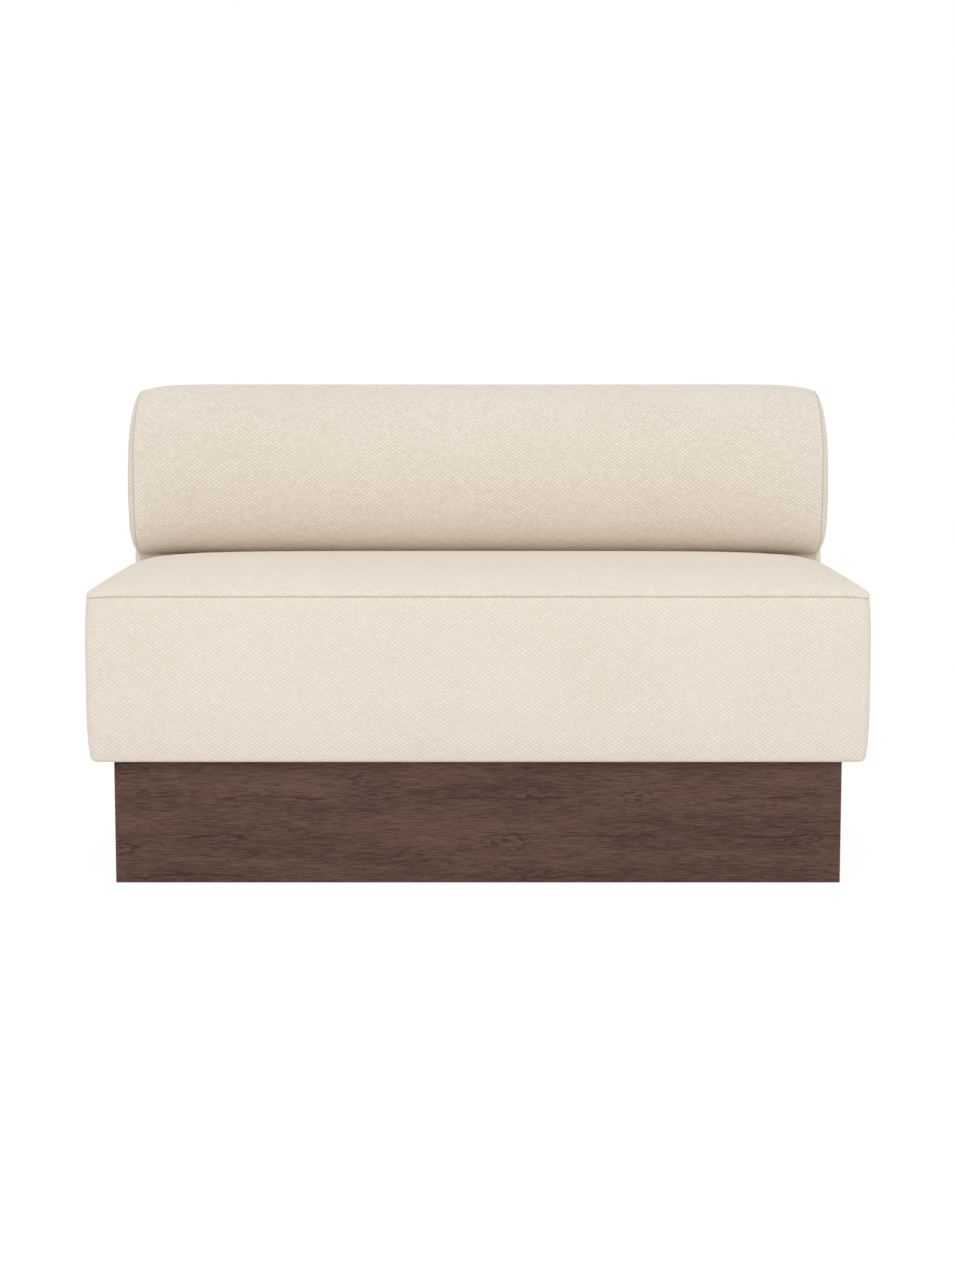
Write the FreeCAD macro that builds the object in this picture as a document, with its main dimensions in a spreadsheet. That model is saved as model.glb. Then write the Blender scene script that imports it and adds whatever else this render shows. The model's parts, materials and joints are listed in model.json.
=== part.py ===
"""Dining sofa: a crowned seat and a rolled back in woven cloth, standing on a dark oak plinth.

Frame: millimetres, +Z up, the sofa faces -Y, origin on the floor under its middle.
Inside the cloth: a seat frame with elastic webbing and foam, and a back frame of plywood ribs and boards
under a foam roll. The two are bolted together and screwed down on the plinth, whose corner blocks hold
four screw-in levelling feet.
"""

import FreeCAD
import Part
import Sketcher

import math
import os
import re

from FreeCAD import Rotation, Vector

# Driving dimensions, in millimetres. A name that ends in count is a number of pieces, and one that ends in
# share is a share of the size that its note names.
SIZES = (
    ("seat_width", 1196, "along the seat's seam"),
    ("overall_depth", 660, "front swell of the seat to the flat rear of the back"),
    ("back_height", 764, "floor to the top of the back"),
    ("seam_height", 450, "floor to the seam round the seat's top panel"),
    ("plinth_height", 195, "floor to the underside of the upholstery"),
    ("cover_thickness", 3, "woven cloth with its stitched lining"),
    ("soft_clearance", 0.3, "between cloth and what it covers, and between loose sheets"),
    ("overrun", 5, "how far every cutting shape runs past what it cuts"),
    # seat cover
    ("band_bulge", 5, "how far the seat's front and sides swell at half height"),
    ("band_corner_radius", 20, "upright corners of the seat"),
    ("band_foot_radius", 12, "rounding where the cloth turns under the seat"),
    ("hem_width", 60, "cloth turned under the frame and stapled"),
    ("crown_rise", 41, "how far the top panel swells above its seam"),
    # back cover
    ("neck_thickness", 134, "the back below its roll"),
    ("roll_lift", 24, "underside of the roll above the seat's seam"),
    ("roll_front_share", 0.9, "broad curve of the roll's front, of the roll's height"),
    ("roll_top_share", 0.33, "radius from the front over to the top, of the roll's height"),
    ("roll_foot_share", 0.25, "radius from the front to the underside, of the roll's height"),
    ("underside_flat", 4, "flat of the roll's underside before the crease"),
    ("back_rear_radius", 60, "curve from the top to the flat rear"),
    ("neck_hem", 30, "cloth turned under the back at its front"),
    ("end_seam_inset", 14, "end seams of the back, in from the side of the seat"),
    ("end_puff", 16, "how far the end panels swell out of their seams"),
    ("puff_run_share", 0.48, "most of the neck's thickness that the swell runs in from each seam"),
    ("end_draw", 9, "how far the back's cloth is drawn in at the end seams"),
    ("end_draw_run", 130, "length over which it is drawn in"),
    # seat frame and filling
    ("border_foam", 12, "foam strip on the outside of the seat rails"),
    ("rail_thickness", 26, "seat rails"),
    ("rail_height", 118, "seat rails"),
    ("cross_rail_height", 70, "rails from front to rear under the webbing"),
    ("brace_leg", 60, "triangular braces in the seat frame's corners"),
    ("strap_width", 60, "elastic webbing"),
    ("strap_thickness", 1.6, "elastic webbing"),
    ("strap_inset", 5, "strap ends, in from the outer face of the rails"),
    ("strap_gap", 0.15, "half the gap between straps where they cross"),
    ("strap_ease", 6, "flat of a strap past each side of a crossing"),
    ("lengthwise_count", 7, "straps from front to rear"),
    ("crosswise_count", 3, "straps from side to side"),
    ("deck_thickness", 3, "felt sheet between webbing and foam"),
    ("dust_thickness", 1, "black sheet that closes the underside"),
    # back frame
    ("end_pad_thickness", 19, "foam between the end ribs and the end seams"),
    ("rib_thickness", 18, "plywood ribs of the back"),
    ("rib_slot_width", 50, "lightening slot in each rib"),
    ("rib_slot_foot", 150, "lower end of the slot, up from the foot of the rib"),
    ("rib_slot_head", 60, "upper end of the slot, down from the head of the rib"),
    ("front_board_thickness", 6, "plywood behind the roll"),
    ("rear_board_thickness", 4, "hardboard behind the rear cloth"),
    ("bottom_rail_height", 25, "flat rails at the foot of the back frame"),
    ("top_rail_height", 25, "flat rails at the head of the back frame"),
    ("lower_rail_thickness", 30, "upright rails that take the bolts"),
    ("lower_rail_height", 80, "upright rails that take the bolts"),
    # bolts between seat and back
    ("bolt_radius", 4, "shank of the M8 bolts"),
    ("bolt_clearance", 0.4, "round the shank, in wood and cloth"),
    ("bolt_head_height", 5.3, "hexagon head"),
    ("bolt_hexagon", 7.5, "head and nut, centre to corner"),
    ("bolt_tail", 4, "thread that stands out of the nut"),
    ("nut_height", 6.5, "hexagon nut"),
    ("washer_radius", 12, "washers under heads and nuts"),
    ("washer_thickness", 1.6, "washers under heads and nuts"),
    # plinth
    ("plinth_recess", 35, "plinth, in from the upholstery on all sides"),
    ("panel_thickness", 20, "veneered plinth panels"),
    ("divider_thickness", 18, "board across the middle of the plinth"),
    ("divider_lift", 20, "gap under the divider"),
    ("cleat_size", 30, "square strips along the plinth's upper edge"),
    ("screw_radius", 3, "screws from the cleats up into the frames"),
    ("screw_clearance", 0.3, "round the shank"),
    ("screw_bite", 20, "how far a screw enters the frame"),
    ("screw_head_radius", 6, "pan head"),
    ("screw_head_height", 3.5, "pan head"),
    # levelling feet
    ("block_size", 60, "square hardwood block in each corner of the plinth"),
    ("block_height", 45, "corner block"),
    ("block_lift", 17, "underside of the corner block above the floor"),
    ("nut_flange_radius", 11, "flanged insert nut under the block"),
    ("nut_flange_thickness", 1.5, "flanged insert nut"),
    ("nut_barrel_radius", 5.5, "flanged insert nut"),
    ("nut_barrel_length", 11, "flanged insert nut"),
    ("nut_seat_clearance", 0.2, "round the barrel"),
    ("stem_radius", 4, "M8 stem of a levelling foot"),
    ("stem_length", 36, "stem above its collar"),
    ("stem_clearance", 0.05, "between stem and insert nut, at the thread"),
    ("collar_hexagon", 7.5, "hexagon collar, centre to corner"),
    ("collar_clearance", 0.3, "collar to insert nut with the foot screwed right in"),
    ("pad_radius", 20, "plastic pad, at the floor"),
    ("pad_shoulder_radius", 16, "plastic pad, at its upper rim"),
    ("pad_height", 7, "plastic pad"),
    ("pad_lift", 1, "pad above the floor with the foot screwed right in"),
)

# Places worked out from the sizes above
PLACES = {
    "seat_half": "seat_width / 2",
    "seat_front": "band_bulge - overall_depth / 2",
    "back_rear": "overall_depth / 2",
    "lining": "cover_thickness + soft_clearance",
    "frame_foot": "plinth_height + cover_thickness",
    # the roll's arcs: the front arc's centre, and the centres of the arcs that meet it tangentially
    "neck_front": "back_rear - neck_thickness",
    "roll_foot": "seam_height + roll_lift",
    "roll_height": "back_height - roll_foot",
    "roll_half": "roll_height / 2",
    "front_radius": "roll_height * roll_front_share",
    "top_radius": "roll_height * roll_top_share",
    "foot_radius": "roll_height * roll_foot_share",
    "foot_arc_y": "neck_front - underside_flat",
    "front_arc_y": "foot_arc_y + sqrt((front_radius - foot_radius)^2 - (roll_half - foot_radius)^2)",
    "top_arc_y": "front_arc_y - sqrt((front_radius - top_radius)^2 - (roll_half - top_radius)^2)",
    # seat frame
    "seat_rear": "neck_front - soft_clearance",
    "rail_inset": "lining + border_foam",
    "rail_half": "seat_half - rail_inset",
    "rail_front": "seat_front + rail_inset",
    "rail_rear": "seat_rear - lining",
    "bay_half": "rail_half - rail_thickness",
    "bay_front": "rail_front + rail_thickness",
    "bay_rear": "rail_rear - rail_thickness",
    "cross_rail_offset": "bay_half / 2",
    "bolt_inner_offset": "bay_half / 4",
    "bolt_outer_offset": "bay_half * 3 / 4",
    "rail_top": "frame_foot + rail_height",
    "deck_foot": "rail_top + 2 * strap_thickness",
    "deck_top": "deck_foot + deck_thickness",
    # back frame
    "back_half": "seat_half - end_seam_inset",
    "rib_half": "back_half - end_pad_thickness",
    "board_front": "neck_front + lining",
    "rib_front": "board_front + front_board_thickness",
    "board_rear": "back_rear - lining",
    "rib_rear": "board_rear - rear_board_thickness",
    "back_frame_top": "back_height - back_rear_radius",
    "lower_rail_foot": "frame_foot + bottom_rail_height",
    "back_bay_inner": "rib_thickness / 2",
    "back_bay_outer": "rib_half - rib_thickness",
    "bolt_level": "frame_foot + rail_height / 2",
    # plinth
    "plinth_half": "seat_half - plinth_recess",
    "plinth_front": "seat_front + plinth_recess",
    "plinth_rear": "back_rear - plinth_recess",
    "plinth_inner_half": "plinth_half - panel_thickness",
    "plinth_inner_front": "plinth_front + panel_thickness",
    "plinth_inner_rear": "plinth_rear - panel_thickness",
    "cleat_foot": "plinth_height - cleat_size",
    "front_screw_y": "plinth_inner_front + cleat_size / 2",
    "rear_screw_y": "plinth_inner_rear - cleat_size / 2",
    "foot_x": "plinth_inner_half - block_size / 2",
    "front_foot_y": "plinth_inner_front + block_size / 2",
    "rear_foot_y": "plinth_inner_rear - block_size / 2",
    "pad_top": "pad_lift + pad_height",
    "collar_top": "block_lift - nut_flange_thickness - collar_clearance",
}

# The top panel's swell, from its seam to its flat middle: how far in, as shares of half the seat's depth and
# less than nothing where it stands out over the seam, how high, as shares of the rise, and how round the
# corners are, as shares of half the outline's depth
CROWN_RUN_SHARES = (0.0, -0.01, 0.008, 0.042, 0.092, 0.19, 0.365, 0.77)
CROWN_RISE_SHARES = (0.0, 0.112, 0.21, 0.32, 0.471, 0.685, 0.87, 1.0)
CROWN_CORNER_SHARES = (0.0, 0.0, 0.01, 0.06, 0.13, 0.28, 0.5, 0.85)

# The band: turns of its rounded foot, levels above that as shares of the rest of its height, how sharply its
# swell falls away at foot and seam, and how much tighter its corners are at the foot
FOOT_TURN_SHARES = (0.0, 0.35, 0.7, 1.0)
BAND_LEVEL_SHARES = (0.2, 0.5, 0.8, 0.93, 1.0)
SWELL_POWER = 4
FOOT_CORNER_SHARE = 0.6

# The back's cloth where it is drawn in at an end seam: distance from the seam and depth of the draw
DRAW_RUN_SHARES = (0.0, 0.1, 0.28, 0.55, 1.0)
DRAW_DEPTH_SHARES = (1.0, 0.62, 0.26, 0.07, 0.0)

# The puffed end panel: how far out of the seam, as shares of the puff, and how far in from the outline,
# as shares of the roll's foot radius
PUFF_RISE_SHARES = (0.0, 0.42, 0.76, 0.94, 1.0)
PUFF_RUN_SHARES = (0.0, 0.09, 0.26, 0.46, 0.64)

SIZE_NAMES = {alias for alias, _, _ in SIZES}

doc = FreeCAD.newDocument("DiningSofa")
pieces = []


def make_sheet():
    """The spreadsheet of driving dimensions: value, then what it measures."""
    sizes = doc.addObject("Spreadsheet::Sheet", "Sizes")
    for row, (alias, number, meaning) in enumerate(SIZES, start=1):
        sizes.set(f"A{row}", str(number))
        sizes.setAlias(f"A{row}", alias)
        sizes.set(f"B{row}", meaning)
    doc.recompute()
    return sizes


sheet = make_sheet()


def bound(text):
    """The expression for text, with each place spelled out and each size read from the sheet."""
    def spell(match):
        word = match.group()
        if word in PLACES:
            return f"({bound(PLACES[word])})"
        return f"Sizes.{word}" if word in SIZE_NAMES else word
    return re.sub(r"[a-z]\w*", spell, text)


def read(text):
    """The number that an expression of sizes and places gives now."""
    result = sheet.evalExpression(bound(text))
    return float(getattr(result, "Value", result))


def bind(thing, settings):
    """Ties properties of an object to expressions of sizes and places."""
    for name, text in settings.items():
        thing.setExpression(name, bound(text))


def place(thing, x="0", y="0", z="0"):
    """Ties an object's place to expressions."""
    bind(thing, {"Placement.Base.x": x, "Placement.Base.y": y, "Placement.Base.z": z})
    return thing


def piece(thing, label):
    """Names an object as a sub-part of the sofa."""
    thing.Label = label
    pieces.append(thing)
    return thing


def board(name, x, y, z):
    """A sawn board between two expressions on each axis."""
    box = doc.addObject("Part::Box", name)
    spans = (("Length", x), ("Width", y), ("Height", z))
    bind(box, {side: f"({high}) - ({low})" for side, (low, high) in spans})
    return place(box, x[0], y[0], z[0])


def rod(name, radius, length, x, y, z, axis=Vector(0, 0, 1)):
    """A round bar from a point along an axis."""
    cylinder = doc.addObject("Part::Cylinder", name)
    bind(cylinder, {"Radius": radius, "Height": length})
    cylinder.Placement.Rotation = Rotation(Vector(0, 0, 1), axis)
    return place(cylinder, x, y, z)


def hexagon(name, corner, length, x, y, z, axis=Vector(0, 0, 1)):
    """A hexagon bar from a point along an axis."""
    prism = doc.addObject("Part::Prism", name)
    prism.Polygon = 6
    bind(prism, {"Circumradius": corner, "Height": length})
    prism.Placement.Rotation = Rotation(Vector(0, 0, 1), axis)
    return place(prism, x, y, z)


def cut(name, base, tools):
    """base with every tool taken out of it."""
    removed = tools[0]
    if len(tools) > 1:
        removed = group(f"{name}_holes", tools)
    result = doc.addObject("Part::Cut", name)
    result.Base = base
    result.Tool = removed
    return result


def fuse(name, shapes):
    """Shapes that are one solid on the real piece."""
    result = doc.addObject("Part::MultiFuse", name)
    result.Shapes = shapes
    return result


def group(name, members):
    """Separate solids that share a node."""
    result = doc.addObject("Part::Compound", name)
    result.Links = members
    return result


def formed(name, shape):
    """A sewn or foam form whose shape is lofted below."""
    feature = doc.addObject("Part::Feature", name)
    feature.Shape = shape
    feature.Placement = FreeCAD.Placement()
    return feature


def origin_plane(body, role):
    """One of a body's own origin planes."""
    return next(plane for plane in body.Origin.OriginFeatures if plane.Role == role)


def new_sketch(body, name, role):
    """An empty sketch on one of the body's origin planes."""
    sketch = body.newObject("Sketcher::SketchObject", name)
    sketch.AttachmentSupport = [(origin_plane(body, role), "")]
    sketch.MapMode = "FlatFace"
    return sketch


def outline_sketch(body, name, role, corners):
    """A closed sketch of straight sides, each corner tied to a pair of expressions."""
    sketch = new_sketch(body, name, role)
    points = [Vector(read(across), read(up), 0) for across, up in corners]
    for index, start in enumerate(points):
        sketch.addGeometry(Part.LineSegment(start, points[(index + 1) % len(points)]))
    for index in range(len(points)):
        before = (index - 1) % len(points)
        sketch.addConstraint(Sketcher.Constraint("Coincident", before, 2, index, 1))
    for index, (across, up) in enumerate(corners):
        for kind, text in (("DistanceX", across), ("DistanceY", up)):
            made = sketch.addConstraint(Sketcher.Constraint(kind, -1, 1, index, 1, read(text)))
            sketch.setExpression(f"Constraints[{made}]", bound(text))
    return sketch


def pad(body, sketch, length):
    """A pad of a sketch, its length tied to an expression."""
    feature = body.newObject("PartDesign::Pad", f"{body.Name}_pad")
    feature.Profile = sketch
    feature.setExpression("Length", bound(length))
    sketch.Visibility = False
    return feature


def pocket(body, sketch):
    """A hole right through a body, both ways from the sketch."""
    feature = body.newObject("PartDesign::Pocket", f"{body.Name}_pocket")
    feature.Profile = sketch
    feature.Type = "ThroughAll"
    feature.Midplane = True
    sketch.Visibility = False
    return feature


# Soft forms: lofts through lines and arcs


def arc(centre, radius, start, end, lift):
    """An arc about a centre between two angles; lift turns flat points into space."""
    angles = (start, (start + end) / 2, end)
    points = [lift(centre[0] + radius * math.cos(a), centre[1] + radius * math.sin(a)) for a in angles]
    return Part.Arc(*points).toShape()


def line(start, end, lift):
    """A straight edge between two flat points."""
    return Part.LineSegment(lift(*start), lift(*end)).toShape()


def level_outline(half, front, rear, corner, level):
    """A rectangle with round corners in a level plane."""
    def lift(x, y):
        return Vector(x, y, level)
    quarter = math.pi / 2
    edges = []
    for turn, (x, y) in enumerate(((half, rear), (-half, rear), (-half, front), (half, front))):
        centre = (x - math.copysign(corner, x), y - corner if y == rear else y + corner)
        edges.append(arc(centre, corner, turn * quarter, (turn + 1) * quarter, lift))
    wire = []
    for index, edge in enumerate(edges):
        following = edges[(index + 1) % len(edges)]
        wire.append(edge)
        wire.append(Part.LineSegment(edge.lastVertex().Point, following.firstVertex().Point).toShape())
    return Part.Wire(wire)


def solid_box(low, high):
    """A plain block between two corners, for trimming."""
    return Part.makeBox(*[b - a for a, b in zip(low, high)], Vector(*low))


def reach():
    """A length that runs past the whole sofa."""
    return read("seat_width + end_puff + overrun")


def between(shape, low=None, high=None, axis=2):
    """The part of a shape between two planes across an axis."""
    far = reach()
    bottom, top = [-far] * 3, [far] * 3
    bottom[axis] = -far if low is None else low
    top[axis] = far if high is None else high
    return shape.common(solid_box(bottom, top))


def band_form(inset):
    """The seat below its seam, swelling at half height, its foot rounded; inset shrinks it evenly."""
    foot, seam, radius = read("plinth_height"), read("seam_height"), read("band_foot_radius") - inset
    low = foot + inset
    turns = [share * math.pi / 2 for share in FOOT_TURN_SHARES]
    levels = [(low + radius * (1 - math.cos(turn)), radius * (1 - math.sin(turn))) for turn in turns]
    levels += [(low + radius + share * (seam - low - radius), 0) for share in BAND_LEVEL_SHARES]
    outlines = []
    for level, rounding in levels:
        swell = read("band_bulge") * (1 - abs(2 * (level - foot) / (seam - foot) - 1) ** SWELL_POWER)
        edge = inset + rounding
        corner = (read("band_corner_radius") - inset) * (1 - FOOT_CORNER_SHARE * rounding / radius)
        outlines.append(level_outline(
            read("seat_half") - edge + swell, read("seat_front") + edge - swell, read("seat_rear") - edge,
            corner, level))
    return Part.makeLoft(outlines, True, True)


def crown_form(inset):
    """The seat above its seam: a crowned form with a nearly flat middle, upright where it meets the back."""
    run = (read("seat_rear") - read("seat_front")) / 2
    rise, radius = read("crown_rise") - inset, read("band_corner_radius")
    steps = zip(CROWN_RUN_SHARES, CROWN_RISE_SHARES, CROWN_CORNER_SHARES)
    outlines = []
    for run_share, rise_share, corner_share in steps:
        edge = inset + run_share * (run - inset)
        corner = radius - inset + corner_share * (run - edge - radius)
        outlines.append(level_outline(
            read("seat_half") - edge, read("seat_front") + edge, read("seat_rear") - max(edge, inset), corner,
            read("seam_height") + rise_share * rise))
    return Part.makeLoft(outlines, True, True)


def back_outline(inset, draw, foot, x):
    """The back's side view at x: all but the foot is moved in by inset, and the roll by draw as well."""
    def lift(y, z):
        return Vector(x, y, z)
    shrink = inset + draw
    middle = (read("front_arc_y"), read("back_height - roll_half"))
    top = (read("top_arc_y"), read("back_height - top_radius"))
    low = (read("foot_arc_y"), read("roll_foot + foot_radius"))
    rear = (read("back_rear - back_rear_radius"), read("back_height - back_rear_radius") - draw)
    rear_face, neck = read("back_rear") - inset, read("neck_front") + inset
    upper, under = read("back_height") - shrink, read("roll_foot") + shrink
    upper_turn = math.atan2(top[1] - middle[1], top[0] - middle[0])
    lower_turn = math.atan2(low[1] - middle[1], low[0] - middle[0]) + 2 * math.pi
    return Part.Wire([
        line((neck, foot), (rear_face, foot), lift),
        line((rear_face, foot), (rear_face, rear[1]), lift),
        arc(rear, read("back_rear_radius") - inset, 0, math.pi / 2, lift),
        line((rear[0], upper), (top[0], upper), lift),
        arc(top, read("top_radius") - shrink, math.pi / 2, upper_turn, lift),
        arc(middle, read("front_radius") - shrink, upper_turn, lower_turn, lift),
        arc(low, read("foot_radius") - shrink, lower_turn, 3 * math.pi / 2, lift),
        line((low[0], under), (neck, under), lift),
        line((neck, under), (neck, foot), lift),
    ])


def back_form(inset, foot):
    """The back between its end seams, drawn in towards them."""
    end, run, draw = read("back_half"), read("end_draw_run"), read("end_draw")
    near = [(end - share * run, draw * depth) for share, depth in zip(DRAW_RUN_SHARES, DRAW_DEPTH_SHARES)]
    stations = [(-x, depth) for x, depth in near] + [(x, depth) for x, depth in reversed(near)]
    return Part.makeLoft([back_outline(inset, depth, foot, x) for x, depth in stations], True, True)


def end_form(inset, foot, side):
    """The puffed end of the back outside its end seam, on one side, as wide as roll and neck leave room for."""
    seam, draw = read("back_half"), read("end_draw")
    puff = read("end_puff") - inset
    run = min(read("foot_radius") - draw, read("neck_thickness * puff_run_share"))
    outlines = []
    for rise_share, run_share in zip(PUFF_RISE_SHARES, PUFF_RUN_SHARES):
        edge = inset + run_share * run
        outlines.append(back_outline(edge, draw, foot, side * (seam + rise_share * puff)))
    return Part.makeLoft(outlines, True, True)


# Plinth


def mitred_panel(label, length, x, y, turn):
    """A veneered panel with mitred ends, its outer face on the line through x, y."""
    body = doc.addObject("PartDesign::Body", label)
    corners = [(f"-({length}) / 2", "0"), (f"({length}) / 2", "0"),
               (f"({length}) / 2 - panel_thickness", "panel_thickness"),
               (f"panel_thickness - ({length}) / 2", "panel_thickness")]
    sketch = outline_sketch(body, f"{label}_outline", "XY_Plane", corners)
    pad(body, sketch, "plinth_height")
    body.Placement.Rotation = Rotation(Vector(0, 0, 1), turn)
    return piece(place(body, x, y), label)


def make_plinth():
    """Panels, divider, cleats, corner blocks, insert nuts and screws."""
    middle = "(plinth_front + plinth_rear) / 2"
    depth = "plinth_rear - plinth_front"
    mitred_panel("plinth_front_panel", "2 * plinth_half", "0", "plinth_front", 0)
    mitred_panel("plinth_rear_panel", "2 * plinth_half", "0", "plinth_rear", 180)
    mitred_panel("plinth_left_panel", depth, "-plinth_half", middle, -90)
    mitred_panel("plinth_right_panel", depth, "plinth_half", middle, 90)
    divider = board("plinth_divider", ("-divider_thickness / 2", "divider_thickness / 2"),
                    ("plinth_inner_front", "plinth_inner_rear"), ("divider_lift", "cleat_foot"))
    piece(divider, "plinth_divider")
    screws = []
    for where, low, high, screw_y in (
            ("front", "plinth_inner_front", "plinth_inner_front + cleat_size", "front_screw_y"),
            ("rear", "plinth_inner_rear - cleat_size", "plinth_inner_rear", "rear_screw_y")):
        strip = board(f"cleat_strip_{where}", ("-plinth_inner_half", "plinth_inner_half"), (low, high),
                      ("cleat_foot", "plinth_height"))
        label = f"plinth_cleat_{where}"
        piece(cut(label, strip, screw_holes(label, screw_y, "cleat_foot", "plinth_height")), label)
        for side, x in (("left", "-cross_rail_offset"), ("right", "cross_rail_offset")):
            screws.append(fuse(f"screw_{where}_{side}", [
                rod(f"screw_shank_{where}_{side}", "screw_radius", "frame_foot + screw_bite - cleat_foot",
                    x, screw_y, "cleat_foot"),
                rod(f"screw_head_{where}_{side}", "screw_head_radius", "screw_head_height",
                    x, screw_y, "cleat_foot - screw_head_height")]))
    piece(group("plinth_screws", screws), "plinth_screws")


def screw_holes(name, y, low, high):
    """Clearance holes for the pair of screws in one cleat."""
    holes = []
    for side, x in (("left", "-cross_rail_offset"), ("right", "cross_rail_offset")):
        holes.append(rod(f"{name}_hole_{side}", "screw_radius + screw_clearance",
                         f"({high}) - ({low}) + 2 * overrun", x, y, f"({low}) - overrun"))
    return holes


# Levelling feet

CORNERS = (("front_left", "-foot_x", "front_foot_y"), ("front_right", "foot_x", "front_foot_y"),
           ("rear_left", "-foot_x", "rear_foot_y"), ("rear_right", "foot_x", "rear_foot_y"))


def make_levellers():
    """Corner blocks, insert nuts, and a stem and pad for each levelling foot."""
    blocks, nuts = [], []
    half = "block_size / 2"
    for corner, x, y in CORNERS:
        block = board(f"block_{corner}", (f"{x} - {half}", f"{x} + {half}"),
                      (f"{y} - {half}", f"{y} + {half}"), ("block_lift", "block_lift + block_height"))
        bore = rod(f"block_bore_{corner}", "nut_barrel_radius + nut_seat_clearance",
                   "block_height + 2 * overrun", x, y, "block_lift - overrun")
        blocks.append(cut(f"bored_block_{corner}", block, [bore]))
        flange = rod(f"nut_flange_{corner}", "nut_flange_radius", "nut_flange_thickness", x, y,
                     "block_lift - nut_flange_thickness")
        barrel = rod(f"nut_barrel_{corner}", "nut_barrel_radius", "nut_barrel_length", x, y, "block_lift")
        thread = rod(f"nut_thread_{corner}", "stem_radius + stem_clearance",
                     "block_height + 2 * overrun", x, y, "block_lift - nut_flange_thickness - overrun")
        nuts.append(cut(f"insert_nut_{corner}", fuse(f"nut_blank_{corner}", [flange, barrel]), [thread]))
        collar = hexagon(f"collar_{corner}", "collar_hexagon", "collar_top - pad_top", x, y, "pad_top")
        stem = rod(f"stem_{corner}", "stem_radius", "collar_top - pad_top + stem_length", x, y, "pad_top")
        piece(fuse(f"leveller_stem_{corner}", [collar, stem]), f"leveller_stem_{corner}")
        foot = doc.addObject("Part::Cone", f"leveller_pad_{corner}")
        bind(foot, {"Radius1": "pad_radius", "Radius2": "pad_shoulder_radius", "Height": "pad_height"})
        piece(place(foot, x, y, "pad_lift"), f"leveller_pad_{corner}")
    piece(group("plinth_corner_blocks", blocks), "plinth_corner_blocks")
    piece(group("leveller_nuts", nuts), "leveller_nuts")


# Bolts between seat and back

BOLTS = (("far_left", "-bolt_outer_offset"), ("left", "-bolt_inner_offset"),
         ("right", "bolt_inner_offset"), ("far_right", "bolt_outer_offset"))
REARWARD = Vector(0, 1, 0)


def bolt_holes(name):
    """Clearance holes for the four bolts, right through seat rail, cloth, board and back rail."""
    return [rod(f"{name}_bolt_hole_{which}", "bolt_radius + bolt_clearance",
                "rib_front + lower_rail_thickness - bay_rear + 2 * overrun", x, "bay_rear - overrun",
                "bolt_level", REARWARD) for which, x in BOLTS]


def bored(shape):
    """A lofted cover with the bolts' clearance holes in it."""
    radius = read("bolt_radius + bolt_clearance")
    start = read("bay_rear")
    length = read("rib_front + lower_rail_thickness") - start
    for _, x in BOLTS:
        mouth = Vector(read(x), start, read("bolt_level"))
        shape = shape.cut(Part.makeCylinder(radius, length, mouth, REARWARD))
    return shape


def make_bolts():
    """Bolts, their washers and their nuts."""
    bolts, washers, nuts = [], [], []
    nut_face = "rib_front + lower_rail_thickness + washer_thickness"
    for which, x in BOLTS:
        head_face = "bay_rear - washer_thickness"
        head = hexagon(f"bolt_head_{which}", "bolt_hexagon", "bolt_head_height", x,
                       f"{head_face} - bolt_head_height", "bolt_level", REARWARD)
        shank_length = f"{nut_face} + nut_height + bolt_tail - ({head_face})"
        shank = rod(f"bolt_shank_{which}", "bolt_radius", shank_length, x, head_face, "bolt_level", REARWARD)
        bolts.append(fuse(f"bolt_{which}", [head, shank]))
        bore = rod(f"bolt_bore_{which}", "bolt_radius + stem_clearance",
                   f"{nut_face} + nut_height - ({head_face}) + 2 * overrun", x, f"{head_face} - overrun",
                   "bolt_level", REARWARD)
        nut = hexagon(f"bolt_nut_blank_{which}", "bolt_hexagon", "nut_height", x, nut_face, "bolt_level",
                      REARWARD)
        nuts.append(cut(f"bolt_nut_{which}", nut, [bore]))
        for end, y in (("seat", head_face), ("back", "rib_front + lower_rail_thickness")):
            disc = rod(f"washer_disc_{end}_{which}", "washer_radius", "washer_thickness", x, y, "bolt_level",
                       REARWARD)
            washers.append(cut(f"washer_{end}_{which}", disc, [bore]))
    piece(group("back_bolts", bolts), "back_bolts")
    piece(group("back_bolt_washers", washers), "back_bolt_washers")
    piece(group("back_bolt_nuts", nuts), "back_bolt_nuts")


# Seat frame


def corner_brace(name, x, y, turn):
    """A triangular block glued into a corner of the seat frame."""
    body = doc.addObject("PartDesign::Body", name)
    sketch = outline_sketch(body, f"{name}_outline", "XY_Plane",
                            [("0", "0"), ("brace_leg", "0"), ("0", "brace_leg")])
    pad(body, sketch, "cross_rail_height")
    body.Placement.Rotation = Rotation(Vector(0, 0, 1), turn)
    return place(body, x, y, "frame_foot")


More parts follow.
